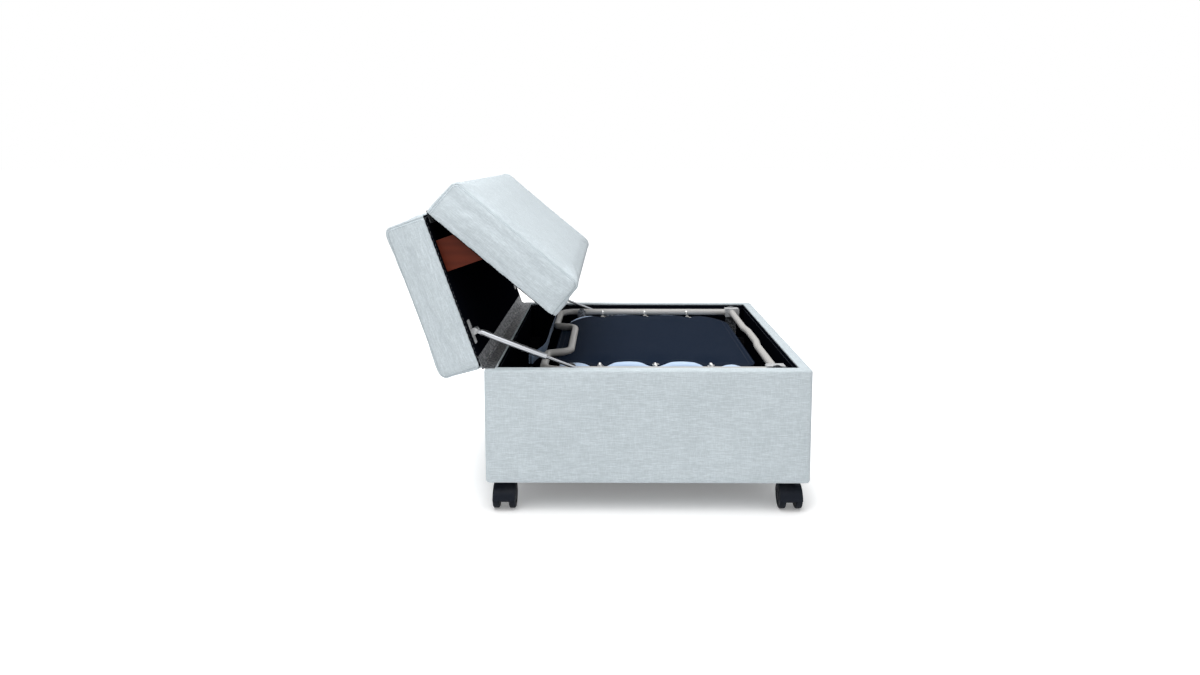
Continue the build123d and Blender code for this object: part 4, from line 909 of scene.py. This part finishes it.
def makeLidLining(name, half, length, halfDepth, look):
    place, wrap, hem = half["place"], look["wrap"], look["hem"]
    reach = halfDepth - wrap
    bm = bmesh.new()
    spans = (wrap, length - wrap), (-reach, reach)
    panelSheet(bm, lambda a, w, depth: place.point(a, w, 0.0001 + depth), *spans, look, half["seed"])
    sheet = clothPiece(name + "LidLining", bm, "blackLining", half["body"], place)
    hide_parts(half["body"] + "_lining")
    staples = bmesh.new()
    near, far, side = wrap + hem, length - wrap - hem, reach - hem
    corners = [place.point(a, w, 0.0001) for a, w in ((near, -side), (far, -side), (far, side), (near, side))]
    for first, second in zip(corners, corners[1:] + corners[:1]):
        stitchRow(staples, straightSpots(first, second, -place.up, 29), look["staple"])
    addPiece(name + "LiningStaples", meshOf(name + "LiningStaples", staples), "zincSteel", half["body"])


lidSize = lidLook["length"], lidLook["halfDepth"]
for name in ("rear", "front"):
    makeLidBoard(name, lidLook[name], *lidSize, lidBoardLook)
    makeLidLining(name, lidLook[name], *lidSize, lidLiningLook)

trayLook = {
    "halfX": 0.3675, "halfY": 0.3925, "floor": 0.0915, "top": 0.3528, "thick": 0.0013, "ripple": 0.0011,
    "cell": 0.014, "hem": 0.012, "stitch": {"pitch": 0.006, "length": 0.0042, "radius": 0.0004},
}


def makeBoxLining(look):
    bm = bmesh.new()
    x, y, low, high = look["halfX"], look["halfY"], look["floor"], look["top"]
    panelSheet(bm, lambda a, b, depth: Vector((a, b, low - depth)), (-x, x), (-y, y), look, 1.0)
    for side in (-1, 1):
        panelSheet(
            bm, lambda a, b, depth: Vector((a, side * (y + depth), b)), (-x, x), (low, high), look, 2.0 + side
        )
        panelSheet(
            bm, lambda a, b, depth: Vector((side * (x + depth), a, b)), (-y, y), (low, high), look, 5.0 + side
        )
    tray = clothPiece("boxLiningCloth", bm, "blackLining", "base")
    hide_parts("box_lining")
    stitches = bmesh.new()
    z, gap = high - look["hem"], 0.0001
    for start, end, normal in (
        ((-x, gap - y, z), (x, gap - y, z), (0, 1, 0)), ((-x, y - gap, z), (x, y - gap, z), (0, -1, 0)),
        ((gap - x, -y, z), (gap - x, y, z), (1, 0, 0)), ((x - gap, -y, z), (x - gap, y, z), (-1, 0, 0)),
    ):
        stitchRow(stitches, straightSpots(start, end, normal, 60), look["stitch"])
    clothPiece("boxLiningStitches", stitches, "darkThread", "base")


feltLook = {
    "halfX": 0.3289, "halfY": 0.3539, "low": 0.0770, "thick": 0.0009, "ripple": 0.0007, "cell": 0.016,
    "stapleLow": 0.0761, "staple": {"pitch": 0.04, "length": 0.009, "radius": 0.0005},
}


def makeUndersideFelt(look):
    x, y, z = look["halfX"], look["halfY"], look["stapleLow"]
    bm = bmesh.new()
    panelSheet(bm, lambda a, b, depth: Vector((a, b, look["low"] + depth)), (-x, x), (-y, y), look, 11.0)
    felt = clothPiece("undersideCloth", bm, "blackLining", "base")
    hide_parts("underside_felt")
    staples = bmesh.new()
    for side in (-1, 1):
        a, b = side * 0.338, side * 0.363
        for start, end in (((-0.33, b, z), (0.33, b, z)), ((a, -0.35, z), (a, 0.35, z))):
            stitchRow(staples, straightSpots(start, end, (0, 0, -1), 20), look["staple"])
    addPiece("undersideStaples", meshOf("undersideStaples", staples), "zincSteel", "base")


makeBoxLining(trayLook)
makeUndersideFelt(feltLook)
print("linings made")


# woven deck, pulled tight between its springs, with a doubled hem and a metal eye at each hook

deckLook = {
    "left": -0.245, "right": 0.290, "crown": 0.336, "sag": 0.0105, "hookY": 0.300, "valley": 0.015,
    "leftStraight": 0.150, "rightRound": 0.070, "rightSlant": 0.009, "pitch": 0.141, "thick": 0.0026,
    "hem": 0.021, "hemRise": 0.0005, "columns": 150, "rows": 66, "crowding": 0.85,
    "lift": 0.009, "sideLift": 0.65, "pull": 0.0007, "ripple": 0.0005, "stitchInsets": (0.005, 0.0175),
    "stitch": {"pitch": 0.0046, "length": 0.0033, "radius": 0.00036},
    "eye": {"past": 0.0095, "inset": 0.0145, "round": 0.0034, "wire": 0.0009},
}
flatDeckLook = {"thick": 0.0022, "ripple": 0.0008, "cell": 0.016}


def deckShape(look):
    left, right, hookY, pitch, valley = (look[key] for key in ("left", "right", "hookY", "pitch", "valley"))
    middle = (left + right) / 2
    arc = (((right - left) / 2) ** 2 + look["sag"] ** 2) / (2 * look["sag"])
    hooks = [middle + step * pitch for step in (-1, 0, 1)]
    reach, rise = hooks[0] - left, hookY - look["leftStraight"]
    leftRadius = (reach ** 2 + rise ** 2) / (2 * reach)
    bendX, bendY = right - look["rightRound"], hookY - look["rightSlant"]
    scallop = ((pitch / 2) ** 2 + valley ** 2) / (2 * valley)

    def halfWidth(x):
        if x < hooks[0]:
            return look["leftStraight"] + math.sqrt(max(leftRadius ** 2 - (leftRadius - x + left) ** 2, 0))
        if x > bendX:
            return bendY - look["rightRound"] + math.sqrt(max(look["rightRound"] ** 2 - (x - bendX) ** 2, 0))
        if x > hooks[2]:
            return hookY - look["rightSlant"] * (x - hooks[2]) / (bendX - hooks[2])
        centre = hooks[x >= hooks[1]] + pitch / 2
        return hookY - valley + scallop - math.sqrt(scallop ** 2 - (x - centre) ** 2)

    def height(x):
        return look["crown"] - arc + math.sqrt(arc ** 2 - (x - middle) ** 2)

    def lift(x, y):
        # the foam below holds the cloth up, least at the springs
        ends = shareOf((x - left) / 0.09, (right - x) / 0.09)
        side = eased(shareOf((abs(y) - hookY + 0.10) / 0.10))
        free = 1 - math.exp(-(min(abs(x - hook) for hook in hooks) / 0.028) ** 2)
        return look["lift"] * eased(ends) * ((1 - side) + side * look["sideLift"] * free)

    return hooks, halfWidth, height, lift


def makeTopDeck(look):
    hooks, halfWidth, height, lift = deckShape(look)
    left, right = look["left"], look["right"]
    long = right - left
    places, shares = [], []
    for step in range(look["columns"] + 1):
        turn = 2 * math.pi * step / look["columns"]
        places.append(left + long * (turn - look["crowding"] * math.sin(turn)) / (2 * math.pi))
    for step in range(look["rows"] + 1):
        share = 2 * step / look["rows"] - 1
        shares.append(math.sin(share * math.pi / 2) * 0.5 + share * 0.5)

    def surface(x, share, drop=0.0008):
        width = halfWidth(x)
        y = share * width
        fromSide = width - abs(y)
        inside = min(fromSide, x - left, right - x)
        z = height(x) + lift(x, y) + look["hemRise"] * shareOf((look["hem"] - inside) / 0.0015)
        for hook in hooks:
            z -= look["pull"] * math.exp(-((x - hook) / 0.02) ** 2) * math.exp(-(fromSide / 0.05) ** 2)
        z += look["ripple"] * noise.noise(Vector((x * 8, y * 6, 4))) * min(1.0, inside / 0.03)
        return Vector((x, y, z - drop))

    bm = bmesh.new()
    shown, hidden = (
        [[bm.verts.new(surface(x, share, drop)) for share in shares] for x in places]
        for drop in (0.0008, 0.0008 + look["thick"])
    )
    closeSheet(bm, shown, hidden)
    deck = clothPiece("deckCloth", bm, "navyDeckWeave", "folded_bed")
    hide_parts("top_deck")
    area = sum(2 * halfWidth(left + long * (step + 0.5) / 400) for step in range(400)) * long / 400
    up = Vector((0, 0, 1))
    stitches = bmesh.new()
    for inset in look["stitchInsets"]:
        runs = []
        for side in (-1, 1):
            along = [left + inset + (long - 2 * inset) * step / 160 for step in range(161)]
            runs.append([(x, side * (halfWidth(x) - inset) / halfWidth(x)) for x in along])
        for x in (left + inset, right - inset):
            widest = 1 - inset / halfWidth(x)
            runs.append([(x, (2 * step / 80 - 1) * widest) for step in range(81)])
        for run in runs:
            stitchRow(stitches, [(surface(x, share, 0.0007), up) for x, share in run], look["stitch"])
    sewn = clothPiece("deckStitches", stitches, "darkThread", "folded_bed")


def makeFlatDeck(name, node, body, look):
    lowCorner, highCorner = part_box(node)
    spans = (lowCorner.x, highCorner.x), (lowCorner.y, highCorner.y)
    bm = bmesh.new()
    panelSheet(bm, lambda a, b, depth: Vector((a, b, highCorner.z - depth)), *spans, look, 21.0)
    deck = clothPiece(name, bm, "navyDeckWeave", body)
    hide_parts(node)


makeTopDeck(deckLook)
makeFlatDeck("bottomDeckCloth", "bottom_deck", "base", flatDeckLook)
makeFlatDeck("footDeckCloth", "foot_deck", "folded_bed", flatDeckLook)
print("decks made")


# mattress sections: foam in ticking, blown up a little, with a piped edge above and below

mattressLook = {
    "halfWidth": 0.325, "left": -0.235, "right": 0.285, "corner": 0.060, "edge": 0.014, "drawIn": 0.005,
    "shrink": 0.002, "voxel": 0.008, "piping": 0.0022, "rise": 0.012, "bulge": 0.011, "slack": 0.0004,
    "deckGap": 0.0042,
}
mattressPress = {"tension": 10.0, "bending": 0.4, "pressure": 3.0, "frames": 14, "cap": 0.003}


def swellBetweenHooks(pad, look):
    # the foam pushes up and out past the deck's edge, and dips under each spring
    hooks, halfWidth, _, lift = deckShape(deckLook)
    for vertex in pad.data.vertices:
        x, y, z = vertex.co
        free = 1 - math.exp(-(min(abs(x - hook) for hook in hooks) / 0.024) ** 2)
        ends = shareOf((x - look["left"]) / 0.06, (look["right"] - x) / 0.06)
        rise = lift(x, y) * shareOf((z - 0.28) / 0.04)
        if y < 0:
            past, upper = shareOf((abs(y) - halfWidth(x) + 0.004) / 0.018), shareOf((z - 0.305) / 0.02)
            rise += past * look["rise"] * (0.35 + 0.65 * free) * ends * upper
        out = math.copysign(look["bulge"], y) * shareOf((abs(y) - 0.27) / 0.05) * ends
        vertex.co = (x, y + out, z + rise)


def makeMattress(name, node, body, arched, look):
    lowCorner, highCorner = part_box(node)
    left, right, halfY, edge = look["left"], look["right"], look["halfWidth"], look["edge"]
    middle, halfX, low = (left + right) / 2, (right - left) / 2, lowCorner.z + look["slack"]
    deckTop = deckShape(deckLook)[2]

    def roof(x):
        return min(highCorner.z, deckTop(x) - look["deckGap"]) if arched else highCorner.z - look["slack"]

    def drawn(along, across, halfAlong, halfAcross):
        # a side's middle is drawn in
        if abs(across) <= halfAcross - 1e-6:
            return 0.0
        share = along / (halfAlong - look["corner"])
        return math.copysign(look["drawIn"] * max(0.0, 1 - share ** 2), across)

    def outline(inset, counts=(40, 50)):
        sideX, sideY = halfX - inset, halfY - inset
        loop = roundedLoop(sideX, sideY, max(look["corner"] - inset, 0.01), counts, 8)
        return [(x - drawn(y, x, halfY, sideX), y - drawn(x, y, halfX, sideY)) for x, y in loop]

    flat = [(0.14, 0.0), (0.08, 0.0), (0.03, 0.0)]
    below = flat + [(edge * a, edge * b) for a, b in quarterTurn(6)]
    above = [(edge * b, -edge * a) for a, b in quarterTurn(6)] + flat[::-1]
    rings = []
    for profile, level in ((below, lambda x: low), (above, roof)):
        for inset, rise in profile:
            loop = outline(inset + look["shrink"])
            rings.append([Vector((middle + x, y, level(middle + x) + rise)) for x, y in loop])
    pad = addPiece(name, meshOf(name, skinned(rings, True)), None, body)
    remeshed(pad, look["voxel"])
    puffUp(pad, mattressPress, lambda point: point.z < low + 0.0015)
    for vertex in pad.data.vertices:
        x, y, z = vertex.co
        z = clamped(z, lowCorner.z + 0.0002, roof(x))
        vertex.co = (clamped(x, left, right), clamped(y, -halfY, halfY), z)
    finer(pad)
    if arched:
        swellBetweenHooks(pad, look)
    pad.data.materials.append(finishes["mattressTicking"])
    pad.data.shade_smooth()
    placeCloth(pad.data, boxPlacing)
    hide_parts(node)
    tree = BVHTree.FromObject(pad, bpy.context.evaluated_depsgraph_get())
    bm = bmesh.new()
    for upper in (False, True):
        path = []
        for x, y in outline(0.0, (60, 70)):
            out = Vector((x / halfX, y / halfY, 0)).normalized()
            height = roof(middle + x) - edge * 0.75 if upper else low + edge * 0.75
            hit, normal, _, _ = tree.find_nearest(Vector((middle + x, y, height)) + out * 0.02)
            path.append(hit - normal * 0.0006)
        tubeInto(bm, path, look["piping"] / 2, 8, True)
    clothPiece(name + "Piping", bm, "mattressTicking", body)


makeMattress("bottomMattressPad", "bottom_mattress", "base", False, mattressLook)
makeMattress("footMattressPad", "foot_mattress", "folded_bed", False, mattressLook)
makeMattress("topMattressPad", "top_mattress", "folded_bed", True, mattressLook)
print("mattress sections made")


# webbing strap: along the end tube, off it at the handle, and a loose bundle of folds

strapLook = {
    "width": 0.022, "thick": 0.0017, "rail": 0.338, "side": -0.2713, "steps": 12,
    # out from the tube, place along it, rise and lean
    "stops": (
        (0, 0.240, 0, 0), (0, 0.150, 0, 0), (0.0006, 0.060, 0.0004, 0.05), (0, -0.030, 0, 0),
        (0, -0.105, 0, -0.05), (0.004, -0.145, -0.001, -0.2), (0.014, -0.180, -0.002, -0.35),
        (0.0205, -0.212, -0.001, -0.2), (0.0215, -0.240, 0, 0), (0.0235, -0.2515, 0, 0),
        (0.0262, -0.2495, 0, 0), (0.0262, -0.226, 0.0005, 0.05), (0.0272, -0.2055, 0, 0),
        (0.0296, -0.2045, 0, 0), (0.0300, -0.228, -0.001, -0.05), (0.0305, -0.2500, 0, 0),
        (0.0328, -0.2505, 0, 0), (0.0336, -0.230, 0.001, 0.06), (0.0342, -0.208, 0, 0),
    ),
}


def ribbonInto(bm, path, broads, width, thick):
    side = ((-0.5, -0.35), (-0.46, -0.5), (0, -0.5), (0.46, -0.5), (0.5, -0.35))
    section = side + tuple((-across, -lift) for across, lift in side)
    rows = []
    for index, (point, broad) in enumerate(zip(path, broads)):
        way = (path[min(index + 1, len(path) - 1)] - path[max(index - 1, 0)]).normalized()
        broad = (broad - way * broad.dot(way)).normalized()
        face = way.cross(broad).normalized()
        spots = [point + broad * across * width + face * lift * thick for across, lift in section]
        rows.append([bm.verts.new(spot) for spot in spots])
    skinRows(bm, rows)
    bmesh.ops.recalc_face_normals(bm, faces=bm.faces)


def smoothRun(stops, steps):
    # an even curve through the stops
    run = []
    last = len(stops) - 1
    for index in range(last):
        around = max(index - 1, 0), index, index + 1, min(index + 2, last)
        a, b, c, d = (stops[number] for number in around)
        for step in range(steps + (index == last - 1)):
            t = step / steps
            bend = (2 * a - 5 * b + 4 * c - d) * t * t + (3 * b - 3 * c + d - a) * t ** 3
            run.append(0.5 * (2 * b + (c - a) * t + bend))
    return run


def makeStrap(look):
    stops = look["stops"]
    path = [Vector((look["side"] - out, y, look["rail"] + rise)) for out, y, rise, _ in stops]
    points = smoothRun(path, look["steps"])
    broads = smoothRun([Vector((lean, 0, 1)) for _, _, _, lean in stops], look["steps"])
    bm = bmesh.new()
    ribbonInto(bm, points, broads, look["width"], look["thick"])
    strap = clothPiece("strapWebbing", bm, "blueWebbing", "folded_bed")
    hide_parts("tie_strap")


makeStrap(strapLook)


# small fastenings

screwLook = {
    "radius": 0.0031, "height": 0.00022, "sides": 20, "count": 17, "near": 0.0125, "far": 0.0215,
    "profile": ((1.0, 0.0), (0.97, 0.7), (0.8, 1.0), (0.42, 1.0), (0.36, 0.72)),
    # pivot, angle, body, side of the pivot, level, half length and facing
    "leaves": {
        "rimLeafScrews": ((-0.399, 0.359), 0.0, "base", 1, 0.0002, 0.39, 1),
        "rearLeafScrews": ((-0.399, 0.359), 109.3, "rear_lid", 1, 0.0008, 0.39, -1),
        "middleRearLeafScrews": ((-0.52974, 0.73597), 109.3, "rear_lid", -1, 0.0020, 0.365, -1),
        "middleFrontLeafScrews": ((-0.52974, 0.73597), -40.0, "front_lid", 1, 0.0020, 0.365, -1),
    },
}


def screwInto(bm, spot, outward, look):
    # a low screw head; the bottom of its socket is the second material, near-black painted shade in the recess
    side = outward.orthogonal().normalized()
    rows = []
    for reach, rise in look["profile"]:
        centre = spot + outward * look["height"] * rise
        rows.append(roundRow(bm, centre, side, outward.cross(side), look["radius"] * reach, look["sides"]))
    skinRows(bm, rows).material_index = 1


def makeHingeScrews(look):
    # flush screws down each leaf of the two long hinges
    for name, (pivot, angle, body, side, level, reach, facing) in look["leaves"].items():
        place = Placing(pivot, angle)
        bm = bmesh.new()
        for index in range(look["count"]):
            w = -reach + 2 * reach * index / (look["count"] - 1)
            a = side * look["far" if index % 2 else "near"]
            screwInto(bm, place.point(a, w, level), place.up * facing, look)
        bmesh.ops.recalc_face_normals(bm, faces=bm.faces)
        piece = addPiece(name, meshOf(name, bm), "zincSteel", body, False)
        piece.data.materials.append(finishes["screwSocket"])


def makeDeckEyes(look, eye):
    hooks, halfWidth, height, _ = deckShape(look)
    bm = bmesh.new()
    for hook in hooks:
        for side in (-1, 1):
            y = side * (halfWidth(hook) - eye["inset"])
            middle = Vector((hook + eye["past"], y, height(hook) - 0.0002))
            turns = [math.radians(30 * step) for step in range(12)]
            ring = [middle + eye["round"] * Vector((math.cos(turn), math.sin(turn), 0)) for turn in turns]
            tubeInto(bm, ring, eye["wire"], 8, True)
    addPiece("deckEyes", meshOf("deckEyes", bm), "springSteel", "folded_bed")


makeHingeScrews(screwLook)
makeDeckEyes(deckLook, deckLook["eye"])
print("fastenings made")


# floor, light and camera

# the floor's glow is weaker under and near the box than further out: painted shadow
stageLook = {
    "ground": (0.93, 0.93, 0.93), "underBoxPaintedShadowGlow": 0.2, "farLift": 0.6, "spread": 0.36,
    "halfX": 0.37, "halfY": 0.42, "steepX": 2.0, "steepY": 0.72,
    "sky": 0.5, "reach": 40.0, "rows": (6.0, 2.0),
    "lamps": {
        "overheadSoftbox": {"power": 158.0, "size": 4.4, "spot": (-0.3, -0.2, 5.0), "aim": (0, 0, 0.3)},
        "frontFill": {"power": 22.0, "size": 1.5, "spot": (-0.6, -1.5, 2.3), "aim": (-0.25, -0.3, 0.45)},
    },
}
# fitted to the photograph's box corners, lid corners and wheels
cameraLook = {
    "lens": 22.495, "shift": (-8 / 1200, -0.09), "spot": (-0.0865, -2.1703, 0.8702), "tilt": 5.657,
    "turn": 0.33,
}


def seenRays(tree):
    # 1 for rays that come from the camera, from metal or through glass
    path = tree.nodes.new("ShaderNodeLightPath").outputs
    mirrored = addMath(tree, "MAXIMUM", path["Is Glossy Ray"], path["Is Transmission Ray"])
    return addMath(tree, "MAXIMUM", path["Is Camera Ray"], mirrored)


def whiteFloorWithPaintedShadow(name, look):
    # white to the eye and to metal, while its own shading keeps the shadow; its glow is weaker under and near
    # the box, which paints shadow there
    material, tree, shader = newMaterial(name, look["ground"], 0.9, 0.0)
    spot = axesOf(tree, tree.nodes.new("ShaderNodeNewGeometry").outputs["Position"])
    # its glow is low under the box, a painted shadow, and its own white takes over a little way out from under
    # the box
    past = []
    for axis, half, steep in ((0, "halfX", "steepX"), (1, "halfY", "steepY")):
        out = addMath(tree, "SUBTRACT", addMath(tree, "ABSOLUTE", spot[axis]), look[half])
        past.append(times(tree, out, look[steep]))
    lift = tree.nodes.new("ShaderNodeMapRange")
    lift.interpolation_type = "SMOOTHSTEP"
    feed(tree, lift, {
        "Value": addMath(tree, "MAXIMUM", *past), "From Min": 0.0, "From Max": look["spread"],
        "To Min": look["underBoxPaintedShadowGlow"], "To Max": look["farLift"],
    })
    tree.links.new(times(tree, lift.outputs[0], seenRays(tree)), shader.inputs["Emission Color"])
    shader.inputs["Emission Strength"].default_value = 1.0
    return material


def makeStage(look):
    bm = bmesh.new()
    outer = [look["reach"], *look["rows"]]
    places = [-place for place in outer] + [0.0] + outer[::-1]
    rows = [[bm.verts.new((x, y, 0.0)) for x in places] for y in places]
    for low, after in zip(rows, rows[1:]):
        for index in range(len(places) - 1):
            bm.faces.new((low[index], low[index + 1], after[index + 1], after[index]))
    mesh = meshOf("studioFloor", bm)
    floor = bpy.data.objects.new("studioFloor", mesh)
    mesh.materials.append(whiteFloorWithPaintedShadow("floorWhitePaintedShadow", look))
    scene.collection.objects.link(floor)


def makeLights(look):
    scene.world = bpy.data.worlds.new("studioWorld")
    scene.world.use_nodes = True
    tree = scene.world.node_tree
    level = addMath(tree, "MULTIPLY_ADD", seenRays(tree), 1.0 - look["sky"], look["sky"])
    feed(tree, tree.nodes["Background"], {"Color": (1.0, 1.0, 1.0), "Strength": level})
    for name, values in look["lamps"].items():
        lamp = bpy.data.lights.new(name, "AREA")
        lamp.energy, lamp.size = values["power"], values["size"]
        holder = bpy.data.objects.new(name, lamp)
        holder.location = values["spot"]
        holder.rotation_mode = "QUATERNION"
        way = Vector(values["aim"]) - Vector(values["spot"])
        holder.rotation_quaternion = way.to_track_quat("-Z", "Y")
        scene.collection.objects.link(holder)


def makeCamera(look):
    camera = bpy.data.cameras.new("photoCamera")
    camera.sensor_width, camera.lens = 36.0, look["lens"]
    camera.shift_x, camera.shift_y = look["shift"]
    camera.clip_start, camera.clip_end = 0.05, 60
    holder = bpy.data.objects.new("photoCamera", camera)
    holder.location = look["spot"]
    holder.rotation_euler = (math.radians(90 - look["tilt"]), 0, math.radians(look["turn"]))
    scene.collection.objects.link(holder)
    scene.camera = holder


makeStage(stageLook)
makeLights(stageLook)
makeCamera(cameraLook)
scene.view_settings.view_transform = "Standard"
